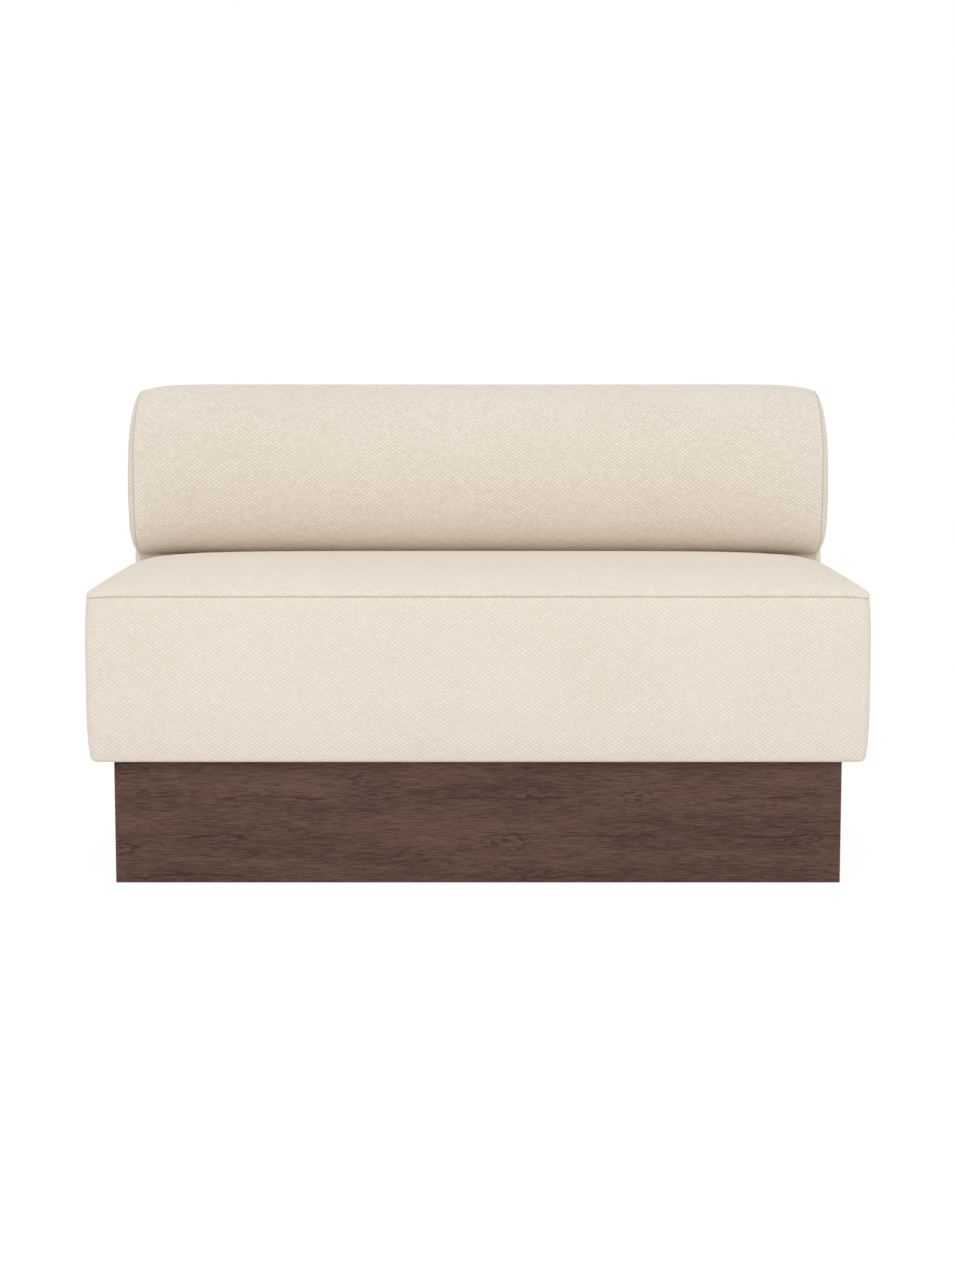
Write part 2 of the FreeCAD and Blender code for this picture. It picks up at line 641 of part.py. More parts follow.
def make_seat_frame():
    """Rails, cross rails and corner braces."""
    upright = ("frame_foot", "rail_top")
    across = ("-rail_half", "rail_half")
    piece(board("seat_front_rail", across, ("rail_front", "bay_front"), upright), "seat_front_rail")
    eased = doc.addObject("Part::Common", "rear_rail_eased")
    eased.Base = board("rear_rail_blank", across, ("bay_rear", "rail_rear"), upright)
    eased.Tool = formed("rear_rail_ease", band_form(read("lining")))
    piece(cut("seat_rear_rail", eased, bolt_holes("seat_rear_rail")), "seat_rear_rail")
    along = ("bay_front", "bay_rear")
    piece(board("seat_left_rail", ("-rail_half", "-bay_half"), along, upright), "seat_left_rail")
    piece(board("seat_right_rail", ("bay_half", "rail_half"), along, upright), "seat_right_rail")
    rails = []
    for side, x in (("left", "-cross_rail_offset"), ("right", "cross_rail_offset")):
        blank = board(f"cross_rail_blank_{side}", (f"{x} - rail_thickness / 2", f"{x} + rail_thickness / 2"),
                      along, ("frame_foot", "frame_foot + cross_rail_height"))
        pilot = rod(f"cross_rail_pilot_{side}", "screw_radius + stem_clearance", "screw_bite + 2 * overrun",
                    x, "front_screw_y", "frame_foot - overrun")
        rails.append(cut(f"cross_rail_{side}", blank, [pilot]))
    piece(group("seat_cross_rails", rails), "seat_cross_rails")
    braces = [corner_brace("brace_front_left", "-bay_half", "bay_front", 0),
              corner_brace("brace_front_right", "bay_half", "bay_front", 90),
              corner_brace("brace_rear_right", "bay_half", "bay_rear", 180),
              corner_brace("brace_rear_left", "-bay_half", "bay_rear", 270)]
    piece(group("seat_corner_braces", braces), "seat_corner_braces")


# Elastic webbing, woven over and under


def strap_path(start, end, crossings, over_first):
    """Points along a strap: flat on the rails, then over and under the straps it crosses."""
    lift = read("strap_thickness / 2 + strap_gap")
    flat = read("strap_width / 2 + strap_ease")
    on_rail = read("rail_thickness - strap_inset")
    path = [(start, 0), (start + on_rail, 0)]
    for index, centre in enumerate(crossings):
        height = lift if (index % 2 == 0) == over_first else -lift
        path += [(centre - flat, height), (centre + flat, height)]
    return path + [(end - on_rail, 0), (end, 0)]


def strap(path, centre, lengthwise):
    """A flat strap along a path of (distance, height) points."""
    thickness, half = read("strap_thickness"), read("strap_width / 2")
    base = read("rail_top")
    profile = [(along, base + height) for along, height in path]
    profile += [(along, base + height + thickness) for along, height in reversed(path)]
    if lengthwise:
        points = [Vector(centre - half, along, z) for along, z in profile]
        width = Vector(2 * half, 0, 0)
    else:
        points = [Vector(along, centre - half, z) for along, z in profile]
        width = Vector(0, 2 * half, 0)
    return Part.Face(Part.makePolygon(points + points[:1])).extrude(width)


def even_row(count, low, high):
    """Centres of straps that share a bay evenly."""
    pitch = (high - low) / count
    return [low + pitch * index + pitch / 2 for index in range(count)]


def make_webbing():
    """Lengthwise straps on the front and rear rails, crosswise straps on the side rails."""
    columns = even_row(int(read("lengthwise_count")), read("-bay_half"), read("bay_half"))
    rows = even_row(int(read("crosswise_count")), read("bay_front"), read("bay_rear"))
    inset = read("strap_inset")
    front, rear, side = read("rail_front") + inset, read("rail_rear") - inset, read("rail_half") - inset
    lengthwise = [strap(strap_path(front, rear, rows, index % 2 == 0), x, True)
                  for index, x in enumerate(columns)]
    crosswise = [strap(strap_path(-side, side, columns, index % 2 == 1), y, False)
                 for index, y in enumerate(rows)]
    piece(formed("webbing_lengthwise", Part.makeCompound(lengthwise)), "webbing_lengthwise")
    piece(formed("webbing_crosswise", Part.makeCompound(crosswise)), "webbing_crosswise")
    piece(board("seat_felt_sheet", ("-rail_half", "rail_half"), ("rail_front", "rail_rear"),
                ("deck_foot", "deck_top")), "seat_felt_sheet")


# Seat filling and cover


def make_seat_filling():
    """Foam core, crowned topper and the border strips outside the rails."""
    inner = band_form(read("lining"))
    deck, half, front = read("deck_top"), read("rail_half"), read("rail_front")
    piece(formed("seat_foam_core", between(inner, low=deck)), "seat_foam_core")
    piece(formed("seat_foam_topper", crown_form(read("lining"))), "seat_foam_topper")
    strips = between(inner, high=deck)
    behind = between(strips, low=front, axis=1)
    piece(formed("seat_border_front", between(strips, high=front, axis=1)), "seat_border_front")
    piece(formed("seat_border_left", between(behind, high=-half, axis=0)), "seat_border_left")
    piece(formed("seat_border_right", between(behind, low=half, axis=0)), "seat_border_right")


def make_seat_cover():
    """Crowned top panel, wrap-round band with its hem, and the dust sheet."""
    cloth, hem = read("cover_thickness"), read("hem_width")
    panel = crown_form(0).cut(crown_form(cloth))
    piece(formed("seat_top_panel", panel), "seat_top_panel")
    low = (hem - read("seat_half"), read("seat_front") + hem, 0)
    high = (read("seat_half") - hem, read("seat_rear") - hem, read("seam_height"))
    band = band_form(0).cut(band_form(cloth)).cut(solid_box(low, high))
    piece(formed("seat_band", bored(band)), "seat_band")
    sheet_half = "seat_half - hem_width - soft_clearance"
    dust = board("seat_dust_blank", (f"-({sheet_half})", sheet_half),
                 ("seat_front + hem_width + soft_clearance", "seat_rear - hem_width - soft_clearance"),
                 ("frame_foot - dust_thickness", "frame_foot"))
    label = "seat_dust_sheet"
    holes = screw_holes(label, "front_screw_y", "frame_foot - dust_thickness", "frame_foot")
    piece(cut(label, dust, holes), label)


# Back frame


def back_rib(label, x):
    """A plywood rib with a lightening slot, its near face at x."""
    body = doc.addObject("PartDesign::Body", label)
    corners = [("rib_front", "frame_foot"), ("rib_rear", "frame_foot"),
               ("rib_rear", "back_frame_top"), ("rib_front", "back_frame_top")]
    pad(body, outline_sketch(body, f"{label}_outline", "YZ_Plane", corners), "rib_thickness")
    slot = new_sketch(body, f"{label}_slot", "YZ_Plane")
    half = read("rib_slot_width / 2")
    middle = read("(rib_front + rib_rear) / 2")
    low_end = "frame_foot + rib_slot_foot + rib_slot_width / 2"
    high_end = "back_frame_top - rib_slot_head - rib_slot_width / 2"
    low, high = read(low_end), read(high_end)
    slot.addGeometry([
        Part.LineSegment(Vector(middle + half, low, 0), Vector(middle + half, high, 0)),
        Part.ArcOfCircle(Part.Circle(Vector(middle, high, 0), Vector(0, 0, 1), half), 0, math.pi),
        Part.LineSegment(Vector(middle - half, high, 0), Vector(middle - half, low, 0)),
        Part.ArcOfCircle(Part.Circle(Vector(middle, low, 0), Vector(0, 0, 1), half), math.pi, 2 * math.pi)])
    for first, first_end, second, second_end in ((0, 2, 1, 1), (1, 2, 2, 1), (2, 2, 3, 1), (3, 2, 0, 1)):
        slot.addConstraint(Sketcher.Constraint("Tangent", first, first_end, second, second_end))
    for kind, geometry, text in (("DistanceX", 3, "(rib_front + rib_rear) / 2"),
                                 ("DistanceX", 1, "(rib_front + rib_rear) / 2"),
                                 ("DistanceY", 3, low_end), ("DistanceY", 1, high_end)):
        made = slot.addConstraint(Sketcher.Constraint(kind, -1, 1, geometry, 3, read(text)))
        slot.setExpression(f"Constraints[{made}]", bound(text))
    made = slot.addConstraint(Sketcher.Constraint("Radius", 1, half))
    slot.setExpression(f"Constraints[{made}]", bound("rib_slot_width / 2"))
    pocket(body, slot)
    return piece(place(body, x), label)


def bay_boards(name, y, z):
    """The same rail in both bays of the back frame."""
    return [board(f"{name}_left", ("-back_bay_outer", "-back_bay_inner"), y, z),
            board(f"{name}_right", ("back_bay_inner", "back_bay_outer"), y, z)]


def make_back_frame():
    """Ribs, rails and the two boards."""
    back_rib("back_rib_left", "-rib_half")
    back_rib("back_rib_middle", "-rib_thickness / 2")
    back_rib("back_rib_right", "rib_half - rib_thickness")
    whole = ("rib_front", "rib_rear")
    feet = bay_boards("back_bottom_rail", whole, ("frame_foot", "lower_rail_foot"))
    piloted = []
    for side, x, foot in (("left", "-cross_rail_offset", feet[0]), ("right", "cross_rail_offset", feet[1])):
        pilot = rod(f"back_rail_pilot_{side}", "screw_radius + stem_clearance",
                    "bottom_rail_height + 2 * overrun", x, "rear_screw_y", "frame_foot - overrun")
        piloted.append(cut(f"piloted_rail_{side}", foot, [pilot]))
    piece(group("back_bottom_rails", piloted), "back_bottom_rails")
    lower = bay_boards("back_lower_rail", ("rib_front", "rib_front + lower_rail_thickness"),
                       ("lower_rail_foot", "lower_rail_foot + lower_rail_height"))
    holes = bolt_holes("back_lower_rails")
    bored_rails = [cut("bored_lower_rail_left", lower[0], holes[:2]),
                   cut("bored_lower_rail_right", lower[1], holes[2:])]
    piece(group("back_lower_rails", bored_rails), "back_lower_rails")
    heads = bay_boards("back_top_rail", whole, ("back_frame_top - top_rail_height", "back_frame_top"))
    piece(group("back_top_rails", heads), "back_top_rails")
    upright = ("frame_foot", "back_frame_top")
    across = ("-rib_half", "rib_half")
    front = board("front_board_blank", across, ("board_front", "rib_front"), upright)
    piece(cut("back_front_board", front, bolt_holes("back_front_board")), "back_front_board")
    piece(board("back_rear_board", across, ("rib_rear", "board_rear"), upright), "back_rear_board")


# Back filling and cover


def make_back_filling():
    """The foam roll round the head of the frame, and a pad on each end."""
    lining, half, end = read("lining"), read("rib_half"), read("back_half")
    inner = back_form(lining, read("frame_foot + soft_clearance"))
    far = reach()
    frame = solid_box((-far, read("board_front"), -far), (far, far, read("back_frame_top")))
    roll = between(between(inner, low=-half, high=half, axis=0), low=read("roll_foot")).cut(frame)
    piece(formed("back_foam_roll", roll), "back_foam_roll")
    for label, side in (("back_end_pad_left", -1), ("back_end_pad_right", 1)):
        low, high = sorted((side * half, side * end))
        stub = between(inner, low=low, high=high, axis=0)
        puff = end_form(lining, read("frame_foot + soft_clearance"), side)
        piece(formed(label, stub.fuse(puff).removeSplitter()), label)


def make_back_cover():
    """The wrap over front, top and rear with its hem, the two end panels, and the dust sheet."""
    cloth, hem, foot = read("cover_thickness"), read("hem_width"), read("plinth_height")
    inside = read("frame_foot")
    wrap = back_form(0, foot).cut(back_form(cloth, inside))
    low = (hem - read("back_half"), read("neck_front + neck_hem"), 0)
    high = (read("back_half") - hem, read("back_rear") - hem, read("frame_foot + overrun"))
    piece(formed("back_wrap_panel", bored(wrap.cut(solid_box(low, high)))), "back_wrap_panel")
    for label, side in (("back_end_panel_left", -1), ("back_end_panel_right", 1)):
        panel = end_form(0, foot, side).cut(end_form(cloth, inside, side))
        piece(formed(label, panel), label)
    sheet_half = "back_half - hem_width - soft_clearance"
    dust = board("back_dust_blank", (f"-({sheet_half})", sheet_half),
                 ("neck_front + neck_hem + soft_clearance", "back_rear - hem_width - soft_clearance"),
                 ("frame_foot - dust_thickness", "frame_foot"))
    label = "back_dust_sheet"
    holes = screw_holes(label, "rear_screw_y", "frame_foot - dust_thickness", "frame_foot")
    piece(cut(label, dust, holes), label)


def check_and_write():
    """Stops on any broken object, then writes one STEP file per sub-part."""
    doc.recompute()
    for thing in doc.Objects:
        if {"Invalid", "Error"} & set(thing.State):
            raise RuntimeError(f"{thing.Name} did not recompute: {thing.State}")
    os.makedirs("parts", exist_ok=True)
    for thing in pieces:
        shape = thing.Shape
        if shape.isNull() or not shape.isValid() or not shape.Solids:
            raise RuntimeError(f"{thing.Label} has no valid solid")
        shape.exportStep(f"parts/{thing.Label}.step")
        box = shape.BoundBox
        print(f"{thing.Label}: {len(shape.Solids)} solid(s), "
              f"{box.XLength:.1f} x {box.YLength:.1f} x {box.ZLength:.1f} mm")


make_plinth()
make_levellers()
make_bolts()
make_seat_frame()
make_webbing()
make_seat_filling()
make_seat_cover()
make_back_frame()
make_back_filling()
make_back_cover()
check_and_write()
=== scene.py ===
"""Dining sofa, dressed for the eye: sewn cloth over foam, a stained oak plinth, and the frame inside.

Everything is in metres in the frame of the solids: origin on the floor under the middle, +Z up, front at -Y.
"""
import json
import logging
import math
from collections.abc import Callable, Iterator, Sequence
from dataclasses import dataclass, field
from enum import Enum
from itertools import accumulate

import bmesh
import bpy
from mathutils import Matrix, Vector
from mathutils.bvhtree import BVHTree


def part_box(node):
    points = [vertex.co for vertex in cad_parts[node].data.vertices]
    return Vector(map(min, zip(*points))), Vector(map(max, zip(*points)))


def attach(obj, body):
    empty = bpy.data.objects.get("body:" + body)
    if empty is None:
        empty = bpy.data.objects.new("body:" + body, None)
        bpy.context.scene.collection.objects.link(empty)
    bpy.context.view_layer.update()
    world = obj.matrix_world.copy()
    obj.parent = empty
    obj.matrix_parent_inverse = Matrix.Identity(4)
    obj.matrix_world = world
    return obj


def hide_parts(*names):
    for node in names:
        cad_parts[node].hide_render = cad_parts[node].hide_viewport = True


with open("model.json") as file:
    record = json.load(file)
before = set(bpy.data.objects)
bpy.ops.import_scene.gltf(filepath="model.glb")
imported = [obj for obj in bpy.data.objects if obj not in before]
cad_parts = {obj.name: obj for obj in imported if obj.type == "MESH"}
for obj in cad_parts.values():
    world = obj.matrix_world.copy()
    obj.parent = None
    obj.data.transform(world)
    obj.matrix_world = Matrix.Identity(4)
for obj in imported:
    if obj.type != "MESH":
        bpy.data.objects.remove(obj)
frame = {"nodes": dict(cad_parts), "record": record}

log = logging.getLogger("dining_sofa")

# A colour in linear light, an arc's centre and radius, a flat place, and a grid point by its two stations.
Colour = tuple[float, float, float]
Arc = tuple[float, float, float]
Place = tuple[float, float]
Spot = tuple[int, int]
Inputs = dict[str | int, object]
Node = bpy.types.Node
Outputs = bpy.types.NodeOutputs
Socket = bpy.types.NodeSocket

ROOT_BODY = "sofa"
CLOTH_MAP = "cloth"
SEAM_GAP = "seam_gap"
EDGE_WEAR = "edge_wear"
HELD = "held"
STITCH_TREE = "seam_stitches"
STITCH_SEED = 7
TOLERANCE = 1e-6
TINY = 1e-12

# Numbers of the colour mixer's sockets, and of the random draw's sockets for plain numbers.
MIX_SHARE, MIX_FIRST, MIX_SECOND, MIX_RESULT = 0, 6, 7, 2
DRAW_LEAST, DRAW_MOST, DRAW_RESULT = 2, 3, 1


def srgb(red: float, green: float, blue: float) -> Colour:
    """Turns a colour as it looks on screen into linear light.

    Args:
        red: Level from 0 to 255.
        green: Level from 0 to 255.
        blue: Level from 0 to 255.

    Returns:
        The colour in linear light, each channel from 0 to 1.
    """
    def linear(level: float) -> float:
        """One channel in linear light."""
        share = level / 255
        return share / 12.92 if share <= 0.04045 else ((share + 0.055) / 1.055) ** 2.4

    return linear(red), linear(green), linear(blue)


def smooth_share(value: float, run: float) -> float:
    """Eases from 0 to 1 while value goes from 0 to run."""
    share = min(max(value / run, 0.0), 1.0)
    return share * share * (3 - 2 * share)


def graded(length: float, first: Sequence[float], pitch: float, last: Sequence[float] = ()) -> list[float]:
    """Spaces stations along a length, closer together towards its ends.

    Args:
        length: The whole length.
        first: Distances of the close stations from the start.
        pitch: About how far apart the other stations are.
        last: Distances of the close stations from the end, nearest first.

    Returns:
        The stations from 0 to length.
    """
    start = first[-1] if first else 0.0
    stop = length - (last[-1] if last else 0.0)
    steps = max(1, round((stop - start) / pitch))
    middle = [start + (stop - start) * step / steps for step in range(steps + 1)]
    head = [0.0, *first[:-1]] if first else []
    tail = [length - gap for gap in reversed(last[:-1])] + [length] if last else []
    return head + middle + tail


def run_lengths(line: Sequence[Sequence[float]]) -> list[float]:
    """Distances along a line from its first place to each of its places."""
    steps = (math.dist(before, after) for before, after in zip(line, line[1:]))
    return list(accumulate(steps, initial=0.0))


def grid_cells(rows: int, columns: int) -> Iterator[tuple[Spot, Spot, Spot, Spot]]:
    """Goes through a grid's cells, row by row.

    Args:
        rows: How many rows of points the grid has.
        columns: How many points each row has.

    Yields:
        The cell's four corners in order round it, each as row and column.
    """
    for r in range(rows - 1):
        for c in range(columns - 1):
            yield (r, c), (r, c + 1), (r + 1, c + 1), (r + 1, c)


def placed(name: str, data: bpy.types.ID) -> bpy.types.Object:
    """Makes an object and puts it into the scene.

    Args:
        name: The object's name.
        data: Its mesh, lamp or camera.

    Returns:
        The object.
    """
    thing = bpy.data.objects.new(name, data)
    bpy.context.collection.objects.link(thing)
    return thing


def meshed(name: str, points: Sequence, faces: Sequence, edges: Sequence = ()) -> bpy.types.Object:
    """Makes an object with a mesh of its own and puts it into the scene.

    Args:
        name: The object's name.
        points: Places of the mesh's points.
        faces: The points' numbers for each face.
        edges: The points' numbers for each loose edge.

    Returns:
        The object.
    """
    mesh = bpy.data.meshes.new(name)
    mesh.from_pydata(points, edges, faces)
    return placed(name, mesh)


class NodeSheet:
    """Writes nodes and links into one node tree."""

    def __init__(self, tree: bpy.types.NodeTree) -> None:
        """Keeps the tree that the nodes go into."""
        self.tree = tree

    def add(self, kind: str, inputs: Inputs | None = None, **settings: object) -> Node:
        """Adds a node.

        Args:
            kind: The node's type name.
            inputs: Values or sockets for its inputs, by name or number.
            **settings: The node's own properties.

        Returns:
            The new node.
        """
        node = self.tree.nodes.new(kind)
        for name, value in settings.items():
            setattr(node, name, value)
        self.fill(node, inputs or {})
        return node

    def fill(self, node: Node, inputs: Inputs) -> None:
        """Links sockets to a node's inputs, or sets the inputs' own values.

        Args:
            node: The node.
            inputs: Values or sockets, by the inputs' names or numbers.
        """
        for name, value in inputs.items():
            if isinstance(value, Socket):
                self.tree.links.new(value, node.inputs[name])
            else:
                node.inputs[name].default_value = value

    def sum(self, operation: str, *terms: object) -> Socket:
        """Adds one sum over numbers or sockets."""
        return self.add("ShaderNodeMath", dict(enumerate(terms)), operation=operation).outputs[0]

    def times(self, first: object, second: object) -> Socket:
        """Multiplies two numbers or sockets."""
        return self.sum("MULTIPLY", first, second)

    def scaled(self, value: object, factor: object, extra: object) -> Socket:
        """Multiplies a number or socket by a factor, and adds another to it."""
        return self.sum("MULTIPLY_ADD", value, factor, extra)

    def vector(self, operation: str, *terms: object) -> Socket:
        """Adds one sum over vectors."""
        return self.add("ShaderNodeVectorMath", dict(enumerate(terms)), operation=operation).outputs[0]

    def split(self, vector: Socket) -> list[Socket]:
        """Splits a vector into its three numbers."""
        return list(self.add("ShaderNodeSeparateXYZ", {0: vector}).outputs)

    def joined(self, *numbers: object) -> Socket:
        """Joins up to three numbers into a vector."""
        return self.add("ShaderNodeCombineXYZ", dict(enumerate(numbers))).outputs[0]

    def blend(self, share: object, first: object, second: object) -> Socket:
        """Mixes two colours.

        Args:
            share: How much of the second colour, from 0 to 1.
            first: A colour or a socket.
            second: A colour or a socket.

        Returns:
            The mixed colour.
        """
        first, second = [(*each, 1.0) if isinstance(each, tuple) else each for each in (first, second)]
        mixer = {MIX_SHARE: share, MIX_FIRST: first, MIX_SECOND: second}
        return self.add("ShaderNodeMix", mixer, data_type="RGBA").outputs[MIX_RESULT]

    def ramp(self, value: object, low: float, high: float) -> Socket:
        """Eases a value from 0 at low to 1 at high."""
        limits = {"Value": value, "From Min": low, "From Max": high}
        return self.add("ShaderNodeMapRange", limits, interpolation_type="SMOOTHSTEP").outputs[0]

    def noise(self, vector: Socket, scale: object, detail: float = 2.0, roughness: float = 0.5) -> Node:
        """Adds a noise texture with scale features to the metre and a number of finer layers."""
        return self.add("ShaderNodeTexNoise", {"Vector": vector, "Scale": scale, "Detail": detail,
                                               "Roughness": roughness})

    def body(self) -> Socket:
        """Adds the place on the piece, in metres."""
        return self.add("ShaderNodeTexCoord").outputs["Object"]

    def marked(self, name: str) -> Socket:
        """Adds a value that the mesh itself carries."""
        return self.add("ShaderNodeAttribute", attribute_name=name).outputs["Fac"]

    def relief(self, height: Socket, strength: float, depth: float) -> Socket:
        """Adds a bump and gives the normal that it makes."""
        raised = {"Height": height, "Strength": strength, "Distance": depth}
        return self.add("ShaderNodeBump", raised).outputs[0]


@dataclass(frozen=True)
class SharedEffect:
    """A surface effect that several finishes use, kept as one node group.

    It reads a vector, Place, and the numbers that inputs names with their usual values.
    """

    name: str
    inputs: dict[str, float]
    write: Callable[[NodeSheet, Outputs], dict[str, Socket]]

    def group(self) -> bpy.types.NodeTree:
        """Makes the group on first use.

        Returns:
            The node group.
        """
        if self.name in bpy.data.node_groups:
            return bpy.data.node_groups[self.name]
        tree = bpy.data.node_groups.new(self.name, "ShaderNodeTree")
        tree.interface.new_socket("Place", in_out="INPUT", socket_type="NodeSocketVector")
        for name, value in self.inputs.items():
            socket = tree.interface.new_socket(name, in_out="INPUT", socket_type="NodeSocketFloat")
            socket.default_value = value
        sheet = NodeSheet(tree)
        results = self.write(sheet, sheet.add("NodeGroupInput").outputs)
        for name in results:
            tree.interface.new_socket(name, in_out="OUTPUT", socket_type="NodeSocketFloat")
        sheet.add("NodeGroupOutput", results)
        return tree

    def place(self, sheet: NodeSheet, inputs: Inputs) -> Outputs:
        """Places the group in a material with its own values, and gives the group's outputs."""
        return sheet.add("ShaderNodeGroup", inputs, node_tree=self.group()).outputs


# The weave: how often to the metre its rows wander and its lean changes, where a patch of that lean is empty
# and full, the lean's strength at its least and what a full patch adds, and the pitch and depth of the plies.
ROW_WANDERS = 55.0
LEAN_CHANGES = 30.0
LEAN_PATCH = (0.35, 0.65)
LEAN_LEAST, LEAN_ADDED = 0.93, 0.28
PLY_PITCH, PLY_DEPTH = 0.0011, 0.05


def write_weave(sheet: NodeSheet, given: Outputs) -> dict[str, Socket]:
    """Writes a hopsack weave: rows of rounded floats, every other row moved over by half.

    Args:
        sheet: The group's nodes.
        given: The group's inputs.

    Returns:
        The group's outputs by name.
    """
    place = given["Place"]
    wander = sheet.vector("SUBTRACT", sheet.noise(place, ROW_WANDERS).outputs["Color"], (0.5, 0.5, 0.5))
    x, y, _ = sheet.split(sheet.vector("MULTIPLY_ADD", wander, given["Drift"], place))
    across = sheet.sum("DIVIDE", x, given["Float Length"])
    down = sheet.sum("DIVIDE", y, sheet.times(given["Row Pitch"], 2.0))
    rising, falling = sheet.sum("ADD", across, down), sheet.sum("SUBTRACT", across, down)
    leading, following = [sheet.sum("COSINE", sheet.times(turn, math.tau)) for turn in (rising, falling)]
    patches = sheet.ramp(sheet.noise(place, LEAN_CHANGES, 1.0).outputs[0], *LEAN_PATCH)
    lead = sheet.scaled(patches, LEAN_ADDED, LEAN_LEAST)
    follow = sheet.times(sheet.sum("SUBTRACT", 2.0, lead), following)
    floats = sheet.scaled(sheet.scaled(lead, leading, follow), 0.25, 0.5)
    cell = sheet.joined(sheet.sum("ROUND", rising), sheet.sum("ROUND", falling))
    yarn = sheet.add("ShaderNodeTexWhiteNoise", {"Vector": cell}, noise_dimensions="2D").outputs[0]
    ply = sheet.sum("SINE", sheet.times(y, math.tau / PLY_PITCH))
    return {"Floats": sheet.sum("POWER", floats, given["Crown"]), "Yarn": yarn,
            "Height": sheet.scaled(ply, PLY_DEPTH, floats)}


# The grain's streaks: how many to the metre along the grain and across it, their finer layers and how strong
# these are. Its masks: where each is empty and where it is full. The eyes: how many to the metre along the
# grain, how far streaks tear them, how unevenly they lie, and the rings in each.
STREAKS = {"sway": (9.0, 24.0, 4.0, 0.6), "tear": (16.0, 80.0, 3.0, 0.5), "break": (22.0, 190.0, 2.0, 0.5),
           "patch": (7.0, 26.0, 2.0, 0.5), "fibre": (46.0, 640.0, 4.0, 0.68), "pore": (60.0, 900.0, 1.0, 0.5),
           "tone": (3.0, 22.0, 4.0, 0.6)}
MASKS = {"ring": (-0.1, 0.8), "eye": (0.42, 0.1), "chosen": (0.25, 0.35), "break": (0.4, 0.54),
         "line": (0.035, 0.008), "patch": (0.45, 0.62), "pore": (0.58, 0.72)}
EYES_ALONG = 5.0
EYE_TEAR = (0.34, 0.3, 0.0)
EYE_SPREAD = 0.85
EYE_RINGS = 7.0


def write_grain(sheet: NodeSheet, given: Outputs) -> dict[str, Socket]:
    """Writes wood grain that runs along X: broad tone, growth lines with eyes, and fine pores.

    Args:
        sheet: The group's nodes.
        given: The group's inputs.

    Returns:
        The group's outputs by name.
    """
    def streaks(name: str) -> Outputs:
        """Noise that is drawn out along the grain."""
        along, across, *layers = STREAKS[name]
        return sheet.noise(sheet.vector("MULTIPLY", given["Place"], (along, across, across)),
                           1.0, *layers).outputs

    def mask(name: str, value: Socket) -> Socket:
        """A value between the limits of one mask."""
        return sheet.ramp(value, *MASKS[name])

    x, y, z = sheet.split(given["Place"])
    sway = sheet.sum("SUBTRACT", streaks("sway")[0], 0.5)
    bent = sheet.scaled(sway, given["Sway"], sheet.sum("ADD", y, z))
    ring = sheet.sum("DIVIDE", bent, given["Ring Width"])
    spot = sheet.vector("MULTIPLY_ADD", streaks("tear")["Color"], EYE_TEAR,
                        sheet.joined(sheet.times(x, EYES_ALONG), ring))
    eyes = sheet.add("ShaderNodeTexVoronoi", {"Vector": spot, "Scale": 1.0, "Randomness": EYE_SPREAD},
                     voronoi_dimensions="2D", distance="MANHATTAN").outputs
    eye = eyes["Distance"]
    lot = sheet.add("ShaderNodeSeparateColor", {0: eyes["Color"]}).outputs[0]
    curl = mask("ring", sheet.sum("SINE", sheet.times(eye, math.tau * EYE_RINGS)))
    curl = sheet.times(curl, mask("eye", eye))
    chosen = sheet.times(mask("chosen", lot), mask("break", streaks("break")[0]))
    far = sheet.sum("ABSOLUTE", sheet.sum("SUBTRACT", sheet.sum("FRACT", ring), 0.5))
    thin = sheet.times(mask("line", far), mask("patch", streaks("patch")[0]))
    return {"Tone": streaks("tone")[0], "Lines": sheet.sum("MAXIMUM", sheet.times(curl, chosen), thin),
            "Fibre": streaks("fibre")[0], "Pores": mask("pore", streaks("pore")[0])}


# The mottle's finer layers, and how strong these are.
MOTTLE_LAYERS = (3.0, 0.6)


def write_mottle(sheet: NodeSheet, given: Outputs) -> dict[str, Socket]:
    """Writes the slow unevenness of tone and the fine tooth that handled surfaces have.

    Args:
        sheet: The group's nodes.
        given: The group's inputs.

    Returns:
        The group's outputs by name.
    """
    scales = {"Broad": given["Scale"], "Tooth": sheet.times(given["Scale"], given["Tooth"])}
    return {name: sheet.noise(given["Place"], scale, *MOTTLE_LAYERS).outputs[0]
            for name, scale in scales.items()}


WEAVE = SharedEffect("hopsack_weave", {"Float Length": 0.0092, "Row Pitch": 0.0033, "Drift": 0.004,
                                       "Crown": 1.0}, write_weave)
GRAIN = SharedEffect("wood_grain", {"Ring Width": 0.06, "Sway": 0.03}, write_grain)
MOTTLE = SharedEffect("mottle", {"Scale": 6.0, "Tooth": 60.0}, write_mottle)


class GrainRun(Enum):
    """Which way the grain of a wooden piece runs, as the turn that brings it onto X."""

    LENGTHWAYS = (0.0, 0.0, 0.0)
    FRONT_TO_REAR = (0.0, 0.0, -math.pi / 2)


@dataclass(frozen=True)
class Finish:
    """What every finish has: a name, and a material made on first use."""

    name: str

    def material(self) -> bpy.types.Material:
        """Makes the material on first use.

        Returns:
            The material.
        """
        if self.name in bpy.data.materials:
            return bpy.data.materials[self.name]
        made = bpy.data.materials.new(self.name)
        made.use_nodes = True
        sheet = NodeSheet(made.node_tree)
        sheet.fill(made.node_tree.nodes["Principled BSDF"], self.surface(sheet))
        return made

    def surface(self, sheet: NodeSheet) -> Inputs:
        """Writes the finish into a material's nodes and gives the shader's inputs."""
        raise NotImplementedError


